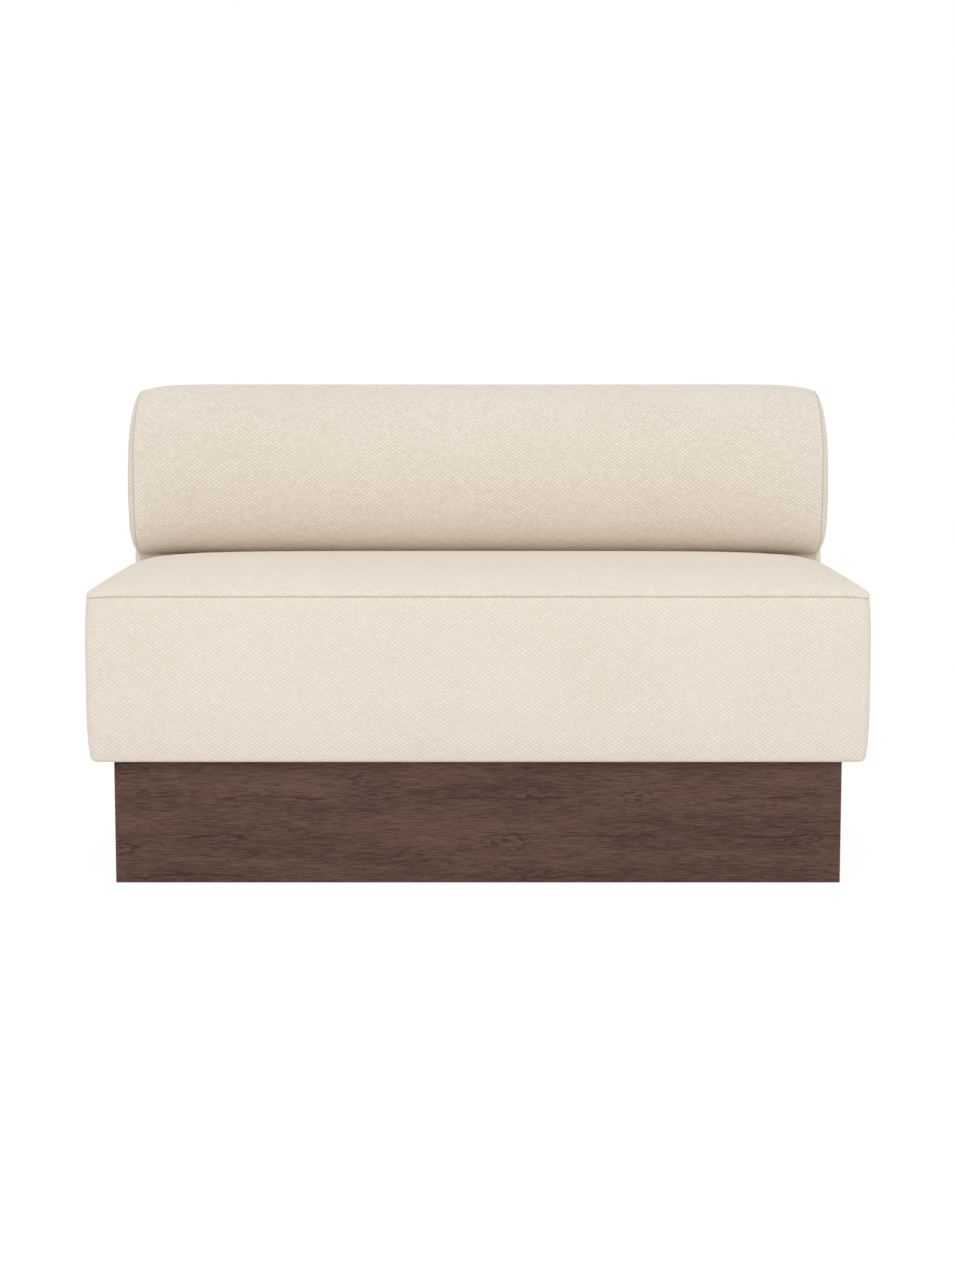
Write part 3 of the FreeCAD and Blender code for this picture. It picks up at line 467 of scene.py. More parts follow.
@dataclass(frozen=True)
class ClothFinish(Finish):
    """Coarse woven cloth that is darker in its gaps, with shade painted along its seams."""

    light: Colour
    gap: Colour
    # The seam colour is painted shade: the cloth is darkened towards it along each seam's crease.
    seam: Colour
    float_length: float = 0.0092
    row_pitch: float = 0.0033
    crown: float = 1.9
    scale: float = 5.0
    tooth: float = 300.0
    depth: float = 0.0009
    strength: float = 0.75
    roughness: float = 0.82
    rough_added: float = 0.12
    specular: float = 0.22
    sheen: float = 0.12
    sheen_roughness: float = 0.6
    yarn_least: float = 0.35
    yarn_added: float = 0.9
    mottling: float = 0.4
    tone_range: Place = (-0.15, 0.95)
    fuzz: float = 0.22
    # How near a seam the painted shade is full, how far out it fades, and how strong it is.
    painted_seam_shade_core: float = 0.0002
    painted_seam_shade_width: float = 0.0012
    painted_seam_shade_share: float = 0.8

    def surface(self, sheet: NodeSheet) -> Inputs:
        """Writes the weave, its tone and a line of painted shade along the seams.

        Args:
            sheet: The material's nodes.

        Returns:
            The shader's inputs.
        """
        weave = WEAVE.place(sheet, {"Place": sheet.add("ShaderNodeUVMap", uv_map=CLOTH_MAP).outputs[0],
                                    "Float Length": self.float_length, "Row Pitch": self.row_pitch,
                                    "Crown": self.crown})
        mottle = MOTTLE.place(sheet, {"Place": sheet.body(), "Scale": self.scale, "Tooth": self.tooth})
        lit = sheet.times(weave["Floats"], sheet.scaled(weave["Yarn"], self.yarn_added, self.yarn_least))
        lit = sheet.scaled(sheet.sum("SUBTRACT", mottle["Broad"], 0.5), self.mottling, lit)
        colour = sheet.blend(sheet.ramp(lit, *self.tone_range), self.gap, self.light)
        # Painted shade along the seams: cloth within the shade's width of a seam is darkened towards the seam
        # colour.
        clear_of_seam_shade = sheet.ramp(sheet.marked(SEAM_GAP), self.painted_seam_shade_core, self.painted_seam_shade_width)
        line = sheet.times(sheet.sum("SUBTRACT", 1.0, clear_of_seam_shade), self.painted_seam_shade_share)
        height = sheet.scaled(mottle["Tooth"], self.fuzz, weave["Height"])
        return {"Base Color": sheet.blend(line, colour, self.seam),
                "Roughness": sheet.scaled(mottle["Tooth"], self.rough_added, self.roughness),
                "Specular IOR Level": self.specular, "Sheen Weight": self.sheen,
                "Sheen Roughness": self.sheen_roughness,
                "Normal": sheet.relief(height, self.strength, self.depth)}


@dataclass(frozen=True)
class WoodFinish(Finish):
    """Wood with its grain, stained or raw."""

    light: Colour
    dark: Colour
    pore: Colour
    worn: Colour
    run: GrainRun = GrainRun.LENGTHWAYS
    ring_width: float = 0.062
    sway: float = 0.03
    roughness: float = 0.5
    specular: float = 0.1
    depth: float = 0.0004
    strength: float = 0.5
    fibre_tone: float = 1.1
    broad_tone: float = 0.55
    tone_base: float = -0.325
    tone_range: Place = (0.15, 0.85)
    line_share: float = 0.6
    line_depth: float = 0.4
    pore_share: float = 0.5
    pore_depth: float = 0.7
    pore_rough: float = 0.2

    def surface(self, sheet: NodeSheet) -> Inputs:
        """Writes the grain, its pores and the worn edges.

        Args:
            sheet: The material's nodes.

        Returns:
            The shader's inputs.
        """
        turned = sheet.add("ShaderNodeMapping", {"Vector": sheet.body(), "Rotation": self.run.value})
        grain = GRAIN.place(sheet, {"Place": turned.outputs[0], "Ring Width": self.ring_width,
                                    "Sway": self.sway})
        fibre, pores, lines = grain["Fibre"], grain["Pores"], grain["Lines"]
        tone = sheet.scaled(grain["Tone"], self.broad_tone, self.tone_base)
        tone = sheet.ramp(sheet.scaled(fibre, self.fibre_tone, tone), *self.tone_range)
        colour = sheet.blend(tone, self.dark, self.light)
        height = fibre
        for mark, share, depth in ((lines, self.line_share, self.line_depth),
                                   (pores, self.pore_share, self.pore_depth)):
            colour = sheet.blend(sheet.times(mark, share), colour, self.pore)
            height = sheet.scaled(mark, -depth, height)
        return {"Base Color": sheet.blend(sheet.times(sheet.marked(EDGE_WEAR), fibre), colour, self.worn),
                "Roughness": sheet.scaled(pores, self.pore_rough, self.roughness),
                "Specular IOR Level": self.specular,
                "Normal": sheet.relief(height, self.strength, self.depth)}


@dataclass(frozen=True)
class PlainFinish(Finish):
    """Stuff without a pattern of its own to the eye, matt and soft: foam, felt, thread and spun cloth."""

    light: Colour
    dark: Colour
    scale: float
    tooth: float
    depth: float
    strength: float = 0.7
    fine_share: float = 0.5
    tone_range: Place = (0.3, 0.7)
    roughness: float = 0.85
    rough_added: float = 0.1
    specular: float = 0.15
    metallic: float = 0.0

    def surface(self, sheet: NodeSheet) -> Inputs:
        """Writes an uneven tone and a tooth.

        Args:
            sheet: The material's nodes.

        Returns:
            The shader's inputs.
        """
        mottle = MOTTLE.place(sheet, {"Place": sheet.body(), "Scale": self.scale, "Tooth": self.tooth})
        fine = sheet.times(mottle["Tooth"], self.fine_share)
        tone = sheet.ramp(sheet.scaled(mottle["Broad"], 1 - self.fine_share, fine), *self.tone_range)
        return {"Base Color": sheet.blend(tone, self.dark, self.light), "Metallic": self.metallic,
                "Roughness": sheet.scaled(mottle["Tooth"], self.rough_added, self.roughness),
                "Specular IOR Level": self.specular,
                "Normal": sheet.relief(mottle["Tooth"], self.strength, self.depth)}


@dataclass(frozen=True)
class HardFinish(PlainFinish):
    """Plated steel or moulded plastic, clouded and with a very fine grain."""

    scale: float = 60.0
    tooth: float = 30.0
    depth: float = 0.0001
    strength: float = 0.15
    fine_share: float = 0.0
    tone_range: Place = (0.35, 0.65)
    rough_added: float = 0.2
    specular: float = 0.5


@dataclass(frozen=True)
class StrapFinish(Finish):
    """Elastic webbing with fine ribs."""

    light: Colour
    dark: Colour
    float_length: float = 0.003
    row_pitch: float = 0.0012
    drift: float = 0.0004
    depth: float = 0.0004
    strength: float = 0.6
    roughness: float = 0.65
    rough_added: float = 0.15

    def surface(self, sheet: NodeSheet) -> Inputs:
        """Writes the close weave of the straps.

        Args:
            sheet: The material's nodes.

        Returns:
            The shader's inputs.
        """
        weave = WEAVE.place(sheet, {"Place": sheet.body(), "Float Length": self.float_length,
                                    "Row Pitch": self.row_pitch, "Drift": self.drift})
        return {"Base Color": sheet.blend(weave["Floats"], self.dark, self.light),
                "Roughness": sheet.scaled(weave["Yarn"], self.rough_added, self.roughness),
                "Normal": sheet.relief(weave["Height"], self.strength, self.depth)}


# The third colour of each cloth is the painted shade along its seams.
SEAT_CLOTH = ClothFinish("cream_hopsack_seat", srgb(242, 233, 223), srgb(229, 217, 201), srgb(226, 211, 190))
# The back's cloth is the seat's cloth again with its gap and seam colours set darker: painted shade on the
# roll.
SHADED_BACK_CLOTH = ClothFinish("cream_hopsack_back_shaded", srgb(243, 235, 226), srgb(222, 211, 195), srgb(208, 188, 160))
SEAM_THREAD = PlainFinish("seam_thread", srgb(214, 197, 172), srgb(188, 168, 140), 40.0, 40.0, 0.0002)
STAINED_OAK = {run: WoodFinish(f"stained_oak_{run.name.lower()}", srgb(116, 89, 79), srgb(68, 49, 42),
                               srgb(52, 37, 32), srgb(122, 96, 84), run)
               for run in GrainRun}
FRAME_FINISHES: dict[str, Finish] = {
    "frame_wood": WoodFinish("raw_beech", srgb(205, 172, 132), srgb(184, 147, 106), srgb(150, 112, 76),
                             srgb(214, 186, 150), ring_width=0.045, sway=0.02, roughness=0.62),
    "plywood": WoodFinish("raw_plywood", srgb(211, 180, 140), srgb(191, 156, 114), srgb(160, 122, 84),
                          srgb(220, 194, 158), ring_width=0.09, sway=0.05, roughness=0.66),
    "foam": PlainFinish("pale_foam", srgb(238, 230, 206), srgb(222, 210, 178), 9.0, 110.0, 0.0008),
    "felt": PlainFinish("grey_felt", srgb(182, 177, 170), srgb(146, 141, 134), 14.0, 60.0, 0.0006),
    "dust_cloth": PlainFinish("black_spun_cloth", srgb(46, 45, 45), srgb(30, 30, 31), 20.0, 45.0, 0.0003),
    "webbing": StrapFinish("black_webbing", srgb(66, 64, 62), srgb(38, 37, 37)),
    "zinc_steel": HardFinish("zinc_plate", srgb(205, 206, 204), srgb(182, 184, 184), roughness=0.28,
                             metallic=1.0),
    "pad_plastic": HardFinish("black_moulded_plastic", srgb(48, 48, 49), srgb(38, 38, 39),
                              roughness=0.42),
}


class Panel(Enum):
    """The sewn panels of the cloth, and the openings that the dust sheets close."""

    TOP = "seat_top"
    BAND = "seat_band"
    WRAP = "back_wrap"
    LEFT_END = "back_left_end"
    RIGHT_END = "back_right_end"
    OPENING = "opening"


@dataclass(frozen=True)
class Inflation:
    """How the filling presses the cloth out between its seams."""

    pressure: float = 12.0
    frames: int = 20
    cap: float = 0.0018
    short: float = 0.0014
    quality: int = 5
    mass: float = 0.35
    tension: float = 5.0
    shear: float = 2.0
    bending: float = 0.5

    def swell(self, shell: bpy.types.Object) -> list[Vector]:
        """Runs the cloth and limits how far each point moves.

        Args:
            shell: A closed shell with a group of held points.

        Returns:
            The points' new places.
        """
        start = [point.co.copy() for point in shell.data.vertices]
        normals = [Vector(normal.vector) for normal in shell.data.vertex_normals]
        cloth = shell.modifiers.new("filling", "CLOTH")
        rules = {"quality": self.quality, "mass": self.mass, "tension_stiffness": self.tension,
                 "compression_stiffness": self.tension, "shear_stiffness": self.shear,
                 "bending_stiffness": self.bending, "use_pressure": True,
                 "uniform_pressure_force": self.pressure, "vertex_group_mass": HELD}
        for name, value in rules.items():
            setattr(cloth.settings, name, value)
        cloth.settings.effector_weights.gravity = 0
        cloth.collision_settings.use_collision = False
        cloth.point_cache.frame_start = 1
        cloth.point_cache.frame_end = self.frames
        scene = bpy.context.scene
        for step in range(1, self.frames + 1):
            scene.frame_set(step)
        swollen = shell.evaluated_get(bpy.context.evaluated_depsgraph_get())
        places = [point.co.copy() for point in swollen.data.vertices]
        shell.modifiers.remove(cloth)
        scene.frame_set(1)
        return [self._limited(*spot) for spot in zip(start, places, normals)]

    def _limited(self, before: Vector, after: Vector, normal: Vector) -> Vector:
        """Brings a point back within the cap, without a sudden stop, and never into the filling.

        Args:
            before: Where the point was.
            after: Where the cloth took it.
            normal: Outward direction of the cloth there.

        Returns:
            Where the point stays.
        """
        step = after - before
        step -= normal * min(step.dot(normal), 0.0)
        length = max(step.length, TINY)
        return before + step * (self.cap * math.tanh(length / self.cap) / length)


@dataclass
class Filling:
    """The foam under a cloth shell, which the cloth lies over and never sinks into."""

    nodes: tuple[str, ...]
    clearance: float = 0.0014
    reach: float = 0.012
    surface: BVHTree = field(init=False)

    def __post_init__(self) -> None:
        """Reads the foam's surfaces."""
        corners, faces = [], []
        for name in self.nodes:
            mesh = frame["nodes"][name].data
            start = len(corners)
            corners += [point.co.copy() for point in mesh.vertices]
            faces += [[start + corner for corner in face.vertices] for face in mesh.polygons]
        self.surface = BVHTree.FromPolygons(corners, faces)

    def clear(self, place: Vector, normal: Vector) -> Vector:
        """Lifts a point of the cloth clear of the foam.

        Args:
            place: Where the point is.
            normal: Outward direction of the cloth there.

        Returns:
            The point, at least the clearance above the foam.
        """
        hit = self.surface.ray_cast(place + normal * self.reach, -normal, 2 * self.reach)
        short = self.reach - hit[3] + self.clearance if hit[0] is not None else 0.0
        return place + normal * max(short, 0.0)


@dataclass
class Shell:
    """A closed cloth shell, before it is cut along its seams into panels."""

    points: list[Vector] = field(default_factory=list)
    held: list[float] = field(default_factory=list)
    slack: list[float] = field(default_factory=list)
    gaps: list[float] = field(default_factory=list)
    faces: list[tuple[int, ...]] = field(default_factory=list)
    panels: list[Panel] = field(default_factory=list)
    flats: list[tuple[Place, ...]] = field(default_factory=list)

    def point(self, place: Vector, held: float, slack: float, gap: float) -> int:
        """Adds a point.

        Args:
            place: Where it is.
            held: 1 where the cloth is fixed, 0 where it is free.
            slack: Share of the inflation's shortfall that the point starts with.
            gap: Distance to the nearest seam.

        Returns:
            The point's number.
        """
        self.points.append(place)
        self.held.append(held)
        self.slack.append(slack)
        self.gaps.append(gap)
        return len(self.points) - 1

    def face(self, corners: tuple[int, ...], panel: Panel, flat: tuple[Place, ...]) -> None:
        """Adds a face.

        Args:
            corners: Its points, anticlockwise from outside.
            panel: The panel it belongs to.
            flat: Where its corners lie on the cloth, in metres.
        """
        self.faces.append(corners)
        self.panels.append(panel)
        self.flats.append(flat)

    def inflate(self, inflation: Inflation, filling: Filling) -> None:
        """Lets the filling press the cloth out to its final form.

        Args:
            inflation: The pressure and the cap.
            filling: The foam inside.
        """
        shell = meshed("shell", self.points, self.faces)
        mesh = shell.data
        normals = [Vector(normal.vector) for normal in mesh.vertex_normals]
        for point, normal, slack in zip(mesh.vertices, normals, self.slack):
            point.co = point.co - normal * slack * inflation.short
        mesh.update()
        group = shell.vertex_groups.new(name=HELD)
        for number, weight in enumerate(self.held):
            group.add([number], weight, "REPLACE")
        self.points = [place if held == 1 else filling.clear(place, normal)
                       for place, normal, held in zip(inflation.swell(shell), normals, self.held)]
        bpy.data.objects.remove(shell)
        bpy.data.meshes.remove(mesh)

    def cut(self, panel: Panel, name: str, cloth: float) -> bpy.types.Object:
        """Cuts one panel out of the shell.

        Args:
            panel: Which panel.
            name: The new piece's name.
            cloth: Thickness of the cloth.

        Returns:
            The panel as a piece of its own.
        """
        chosen = [number for number, owner in enumerate(self.panels) if owner is panel]
        used = sorted({corner for number in chosen for corner in self.faces[number]})
        order = {old: new for new, old in enumerate(used)}
        piece = meshed(name, [self.points[old] for old in used],
                       [tuple(order[corner] for corner in self.faces[number]) for number in chosen])
        mesh = piece.data
        flat = mesh.uv_layers.new(name=CLOTH_MAP)
        for polygon, number in zip(mesh.polygons, chosen):
            for loop, place in zip(polygon.loop_indices, self.flats[number]):
                flat.data[loop].uv = place
        gaps = mesh.attributes.new(SEAM_GAP, "FLOAT", "POINT")
        gaps.data.foreach_set("value", [self.gaps[old] for old in used])
        mesh.shade_smooth()
        round_off = piece.modifiers.new("round", "SUBSURF")
        round_off.levels = round_off.render_levels = 1
        thicken = piece.modifiers.new("cloth", "SOLIDIFY")
        thicken.thickness = cloth
        thicken.offset = -1
        return piece


@dataclass
class Upholstery:
    """What seat and back share: the cloth's finish and grid, and how a panel joins the sofa."""

    finish: ClothFinish
    shell: Shell = field(default_factory=Shell)
    cloth: float = 0.0025
    inflation: Inflation = Inflation()
    near: tuple[float, ...] = (0.003, 0.007, 0.013, 0.022, 0.034)
    pitch: float = 0.016
    ease: float = 0.03
    across: list[float] = field(init=False)

    def join(self, panel: Panel, name: str, fill: float, *nodes: str) -> None:
        """Cuts a panel, dresses it and puts it on the sofa.

        Args:
            panel: Which panel.
            name: The piece's name.
            fill: How tight it is filled, from 0 to 1; not used.
            *nodes: The solids it stands for.
        """
        piece = self.shell.cut(panel, name, self.cloth)
        piece.data.materials.append(self.finish.material())
        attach(piece, ROOT_BODY)
        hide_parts(*nodes)
        log.info("%s: %d faces, stands for %s", name, len(piece.data.polygons), ", ".join(nodes))


@dataclass
class SeatUpholstery(Upholstery):
    """The seat: a crowned top panel sewn to a band that turns under the frame."""

    half_width: float = 0.598
    front: float = -0.325
    rear: float = 0.1957
    seam: float = 0.450
    foot: float = 0.195
    crown: float = 0.042
    crown_run: float = 0.045
    crown_power: float = 0.8
    roll_out: float = 0.006
    roll_run: float = 0.004
    roll_fade: float = 0.05
    corner_roll: float = 0.4
    corner_droop: float = 0.003
    droop_run: float = 0.018
    corner: float = 0.020
    bulge: float = 0.005
    bulge_power: int = 4
    foot_radius: float = 0.010
    foot_steps: int = 4
    front_foot_share: float = 0.5
    hem: float = 0.060
    rear_hold: float = 0.05
    along: list[float] = field(init=False)
    upright: float = field(init=False)

    def __post_init__(self) -> None:
        """Works out the stations of the cloth's grid."""
        self.across = graded(2 * self.half_width, self.near, self.pitch, self.near)
        self.along = graded(self.rear - self.front, self.near, self.pitch, self.near)
        self.upright = self.seam - self.foot - self.foot_radius

    def spots(self) -> list[Spot]:
        """Grid points as stations across and from front to rear, row by row from the front."""
        return [(i, j) for j in range(len(self.along)) for i in range(len(self.across))]

    def cells(self) -> Iterator[list[Spot]]:
        """Corners of each cell of the grid, anticlockwise from above."""
        return ([(i, j) for j, i in ring] for ring in grid_cells(len(self.along), len(self.across)))

    def insets(self, i: int, j: int) -> Place:
        """How far a grid point is in from the nearer side, and from the nearer of front and rear."""
        return (min(self.across[i], self.across[-1] - self.across[i]),
                min(self.along[j], self.along[-1] - self.along[j]))

    def ahead(self, j: int) -> bool:
        """Whether a station lies in the front half."""
        return self.along[j] < self.along[-1] / 2

    def plan(self, i: int, j: int) -> Vector:
        """Where a grid point lies seen from above, with the upright corners rounded.

        Args:
            i: Station across.
            j: Station from front to rear.

        Returns:
            The place at floor level.
        """
        side, end = self.insets(i, j)
        if side < self.corner and end < self.corner:
            u, v = 1 - side / self.corner, 1 - end / self.corner
            side = self.corner * (1 - u * math.sqrt(1 - v * v / 2))
            end = self.corner * (1 - v * math.sqrt(1 - u * u / 2))
        left = self.across[i] < self.half_width
        return Vector((side - self.half_width if left else self.half_width - side,
                       self.front + end if self.ahead(j) else self.rear - end, 0.0))

    def crown_share(self, inset: float) -> float:
        """Share of the crown's height that is reached at a distance from the seam."""
        return 1 - math.exp(-(inset / self.crown_run) ** self.crown_power)

    def rise(self, i: int, j: int) -> float:
        """Height of the crown above the seam at a grid point."""
        side, end = self.insets(i, j)
        return self.crown * self.crown_share(side) * self.crown_share(end)

    def roll(self, near: float, other: float) -> float:
        """How far the cloth rolls out over the seam, less at the corners.

        Args:
            near: Distance from the side that it rolls over.
            other: Distance from the side round the corner.

        Returns:
            How far it stands out there.
        """
        step = near / self.roll_run
        full = self.corner_roll + (1 - self.corner_roll) * smooth_share(other, self.ease)
        return self.roll_out * step * math.exp(1 - step) * full

    def lean(self, i: int, j: int) -> Vector:
        """The roll at a grid point, over both sides and in front.

        Args:
            i: Station across.
            j: Station from front to rear.

        Returns:
            How far the cloth leans out there.
        """
        side, end = self.insets(i, j)
        fade = smooth_share(self.along[-1] - self.along[j], self.roll_fade)
        sideways = math.copysign(self.roll(side, self.along[j]) * fade, self.across[i] - self.half_width)
        return Vector((sideways, -self.roll(end, side) * self.ahead(j), 0.0))

    def droop(self, i: int, j: int) -> float:
        """How far the seam hangs at a grid point near a corner."""
        return self.corner_droop * math.exp(-sum(self.insets(i, j)) / self.droop_run)

    def flat_stations(self) -> tuple[list[float], list[float]]:
        """Lengths along the crowned cloth, across its middle and from front to rear."""
        i_mid, j_mid = len(self.across) // 2, len(self.along) // 2
        return (run_lengths([(x, self.rise(i, j_mid)) for i, x in enumerate(self.across)]),
                run_lengths([(y, self.rise(i_mid, j)) for j, y in enumerate(self.along)]))

    def rim(self) -> list[Spot]:
        """Grid points round the edge, anticlockwise from above, from the middle of the rear.

        Returns:
            The grid points.
        """
        last_i, last_j = len(self.across) - 1, len(self.along) - 1
        middle = last_i // 2
        return ([(i, last_j) for i in range(middle, 0, -1)] + [(0, j) for j in range(last_j, 0, -1)]
                + [(i, 0) for i in range(last_i)] + [(last_i, j) for j in range(last_j)]
                + [(i, last_j) for i in range(last_i, middle, -1)])

    def drops(self) -> list[tuple[float, float, float]]:
        """The band's rows below the seam.

        Returns:
            For each row its height, how far it stands out, and its length of cloth from the seam.
        """
        rows = []
        for drop in graded(self.upright, self.near, self.pitch)[1:]:
            share = abs(2 * drop / self.upright - 1)
            rows.append((self.seam - drop, self.bulge * (1 - share ** self.bulge_power), drop))
        for step in range(1, self.foot_steps + 1):
            turn = step * math.pi / (2 * self.foot_steps)
            rows.append((self.foot + self.foot_radius * (1 - math.sin(turn)),
                         -self.foot_radius * (1 - math.cos(turn)), self.upright + self.foot_radius * turn))
        return rows

    def lay_top(self) -> dict[Spot, int]:
        """Lays the top panel.

        Returns:
            The points' numbers by grid place.
        """
        numbers = {}
        for i, j in self.spots():
            gap = min(self.insets(i, j))
            height = self.seam + self.rise(i, j) - self.droop(i, j)
            place = self.plan(i, j) + self.lean(i, j) + Vector((0, 0, height))
            numbers[i, j] = self.shell.point(place, float(gap == 0), smooth_share(gap, self.ease), gap)
        u, v = self.flat_stations()
        for cell in self.cells():
            self.shell.face(tuple(numbers[spot] for spot in cell), Panel.TOP,
                            tuple((u[i], v[j]) for i, j in cell))
        return numbers

    def lay_band(self, top: dict[Spot, int]) -> list[int]:
        """Lays the band from the seam down and round its foot.

        Args:
            top: The top panel's points.

        Returns:
            The numbers of the lowest row.
        """
        rim = self.rim()
        places = [self.plan(*spot) for spot in rim]
        count = len(rim)
        steps = [places[(k + 1) % count] - places[k - 1] for k in range(count)]
        outward = [Vector((step.y, -step.x, 0.0)).normalized() for step in steps]
        run = run_lengths(places + places[:1])
        upper, upper_run = [top[spot] for spot in rim], 0.0
        for height, out, cloth_run in self.drops():
            lower = []
            for k, place in enumerate(places):
                open_side = smooth_share(self.rear - place.y, self.ease)
                foot = 1 + (self.front_foot_share - 1) * max(-outward[k].y, 0.0)
                reach = out * open_side if out > 0 else out * foot
                level = height - self.droop(*rim[k]) * math.exp(-cloth_run / self.droop_run)
                slack = smooth_share(min(cloth_run, self.upright - cloth_run), self.ease) * open_side
                held = cloth_run > self.upright or open_side < self.rear_hold
                spot = place + outward[k] * reach + Vector((0, 0, level))
                lower.append(self.shell.point(spot, float(held), slack, cloth_run))
            for k in range(count):
                n = (k + 1) % count
                self.shell.face((lower[k], lower[n], upper[n], upper[k]), Panel.BAND,
                                ((run[k], -cloth_run), (run[k + 1], -cloth_run),
                                 (run[k + 1], -upper_run), (run[k], -upper_run)))
            upper, upper_run = lower, cloth_run
        return upper

    def lay_underside(self, lowest: list[int]) -> None:
        """Lays the hem and the opening inside it.

        Args:
            lowest: The band's lowest row.
        """
        numbers = dict(zip(self.rim(), lowest))
        wide = 1 - self.foot_radius / self.half_width
        deep = 1 - 2 * self.foot_radius / self.along[-1]
        middle = (self.front + self.rear) / 2
        for i, j in self.spots():
            if (i, j) not in numbers:
                spot = self.plan(i, j)
                place = Vector((spot.x * wide, middle + (spot.y - middle) * deep, self.foot))
                numbers[i, j] = self.shell.point(place, held=1.0, slack=0.0, gap=1.0)
        for first, second, third, fourth in self.cells():
            ring = (first, fourth, third, second)
            inner = min(min(self.insets(*spot)) for spot in ring)
            panel = Panel.BAND if inner < self.hem else Panel.OPENING
            corners = tuple(numbers[spot] for spot in ring)
            places = [self.shell.points[n] for n in corners]
            self.shell.face(corners, panel, tuple((place.x, place.y) for place in places))

    def build(self) -> list[Vector]:
        """Makes the seat's panels.

        Returns:
            The points of the seam round the top panel.
        """
        top = self.lay_top()
        self.lay_underside(self.lay_band(top))
        self.shell.inflate(self.inflation, Filling(("seat_foam_topper", "seat_foam_core", "seat_border_front",
                                                    "seat_border_left", "seat_border_right")))
        self.join(Panel.TOP, "seat_top_cloth", 0.9, "seat_top_panel", "seat_foam_topper")
        self.join(Panel.BAND, "seat_band_cloth", 0.95, "seat_band")
        return [self.shell.points[top[spot]] for spot in self.rim()]


@dataclass
class BackUpholstery(Upholstery):
    """The back: one wrap over neck, roll and rear, closed by a puffed panel at each end.

    An arc is the depth and height of its centre, and its radius.
    """

    half: float = 0.584
    foot: float = 0.195
    neck: float = 0.196
    rear: float = 0.330
    top: float = 0.764
    underside: float = 0.474
    foot_arc: Arc = (0.192, 0.5465, 0.0725)
    front_arc: Arc = (0.366, 0.619, 0.261)
    top_arc: Arc = (0.2082, 0.6683, 0.0957)
    rear_radius: float = 0.060
    rear_split: float = 0.478
    roll_pitch: float = 0.011
    depth_steps: int = 9
    close_rows: int = 4
    draw: float = 0.0102
    draw_run: float = 0.027
    draw_rise: float = 0.16
    puff: float = 0.0155
    puff_top: float = 0.0122
    puff_from: float = 0.58
    puff_rise: float = 0.15
    puff_run: float = 0.012
    lean: float = 0.005
    lean_from: float = 0.66
    lean_rise: float = 0.1
    neck_rows: list[float] = field(init=False)
    roll_rows: list[float] = field(init=False)
    depth_rows: list[float] = field(init=False)

    def __post_init__(self) -> None:
        """Works out the stations of the cloth's grid, from 0 to 1 along neck, roll and depth."""
        close = self.near[:self.close_rows]
        high, deep = self.underside - self.foot, self.rear - self.neck
        _, round_front = self.roll_front(0.0, 0.0)
        self.across = [x - self.half for x in graded(2 * self.half, self.near, self.pitch, self.near)]
        self.neck_rows = [d / high for d in graded(high, (), self.pitch, close)]
        self.roll_rows = [d / round_front for d in graded(round_front, close, self.roll_pitch)]
        self.depth_rows = [d / deep for d in graded(deep, close, deep / self.depth_steps, close)]

    def grid(self) -> Spot:
        """How many rows the profile has from foot to top, and how many columns from front to rear."""
        return len(self.neck_rows) + len(self.roll_rows) - 1, len(self.depth_rows)

    def roll_front(self, share: float, shrink: float) -> tuple[Place, float]:
        """A place on the roll from the neck's crease under, over the front and up to the flat top.

        Args:
            share: How far along, from 0 to 1.
            shrink: How far the roll is drawn in.

        Returns:
            Its depth and height, and the whole length.
        """
        low, mid, high = self.foot_arc, self.front_arc, self.top_arc
        lower = math.atan2(low[1] - mid[1], low[0] - mid[0]) + math.tau
        upper = math.atan2(high[1] - mid[1], high[0] - mid[0])
        parts = ((low, 1.5 * math.pi, lower), (mid, lower, upper), (high, upper, math.pi / 2))
        flat = self.neck - low[0]
        lengths = [flat] + [(arc[2] - shrink) * (start - stop) for arc, start, stop in parts]
        total = sum(lengths)
        rest = share * total
        if rest <= flat:
            return (self.neck - rest, self.underside + shrink), total
        rest -= flat
        for (arc, start, stop), length in zip(parts, lengths[1:]):
            if rest <= length or arc is high:
                turn = start + (stop - start) * min(rest / length, 1.0)
                radius = arc[2] - shrink
                return (arc[0] + radius * math.cos(turn), arc[1] + radius * math.sin(turn)), total
            rest -= length
        raise ValueError("the roll has no such place")

    def roll_rear(self, share: float, shrink: float) -> Place:
        """A place on the rear from the level of the crease up and over to the flat top.

        Args:
            share: How far along, from 0 to 1.
            shrink: How far the roll is drawn in.

        Returns:
            Its depth and height.
        """
        bend = self.top - shrink - self.rear_radius
        straight, arc = bend - self.rear_split, self.rear_radius * math.pi / 2
        rest = share * (straight + arc)
        if rest <= straight:
            return self.rear, self.rear_split + rest
        turn = (rest - straight) / self.rear_radius
        return self.rear - self.rear_radius * (1 - math.cos(turn)), bend + self.rear_radius * math.sin(turn)

    def loop(self, shrink: float) -> list[Place]:
        """The profile as one ring: up the front, over the top, down the rear, and along the foot.

        Args:
            shrink: How far the roll is drawn in.

        Returns:
            The ring's places, with as many on the front as on the rear.
        """
        def between(a: Place, b: Place) -> list[Place]:
            """The places inside a straight line."""
            return [(a[0] + (b[0] - a[0]) * s, a[1] + (b[1] - a[1]) * s) for s in self.depth_rows[1:-1]]

        neck_top = self.underside + shrink
        front = [(self.neck, self.foot + (neck_top - self.foot) * share) for share in self.neck_rows]
        front += [self.roll_front(share, shrink)[0] for share in self.roll_rows[1:]]
        rear = [(self.rear, self.foot + (self.rear_split - self.foot) * share) for share in self.neck_rows]
        rear += [self.roll_rear(share, shrink) for share in self.roll_rows[1:]]
        return front + between(front[-1], rear[-1]) + rear[::-1] + between(rear[0], front[0])

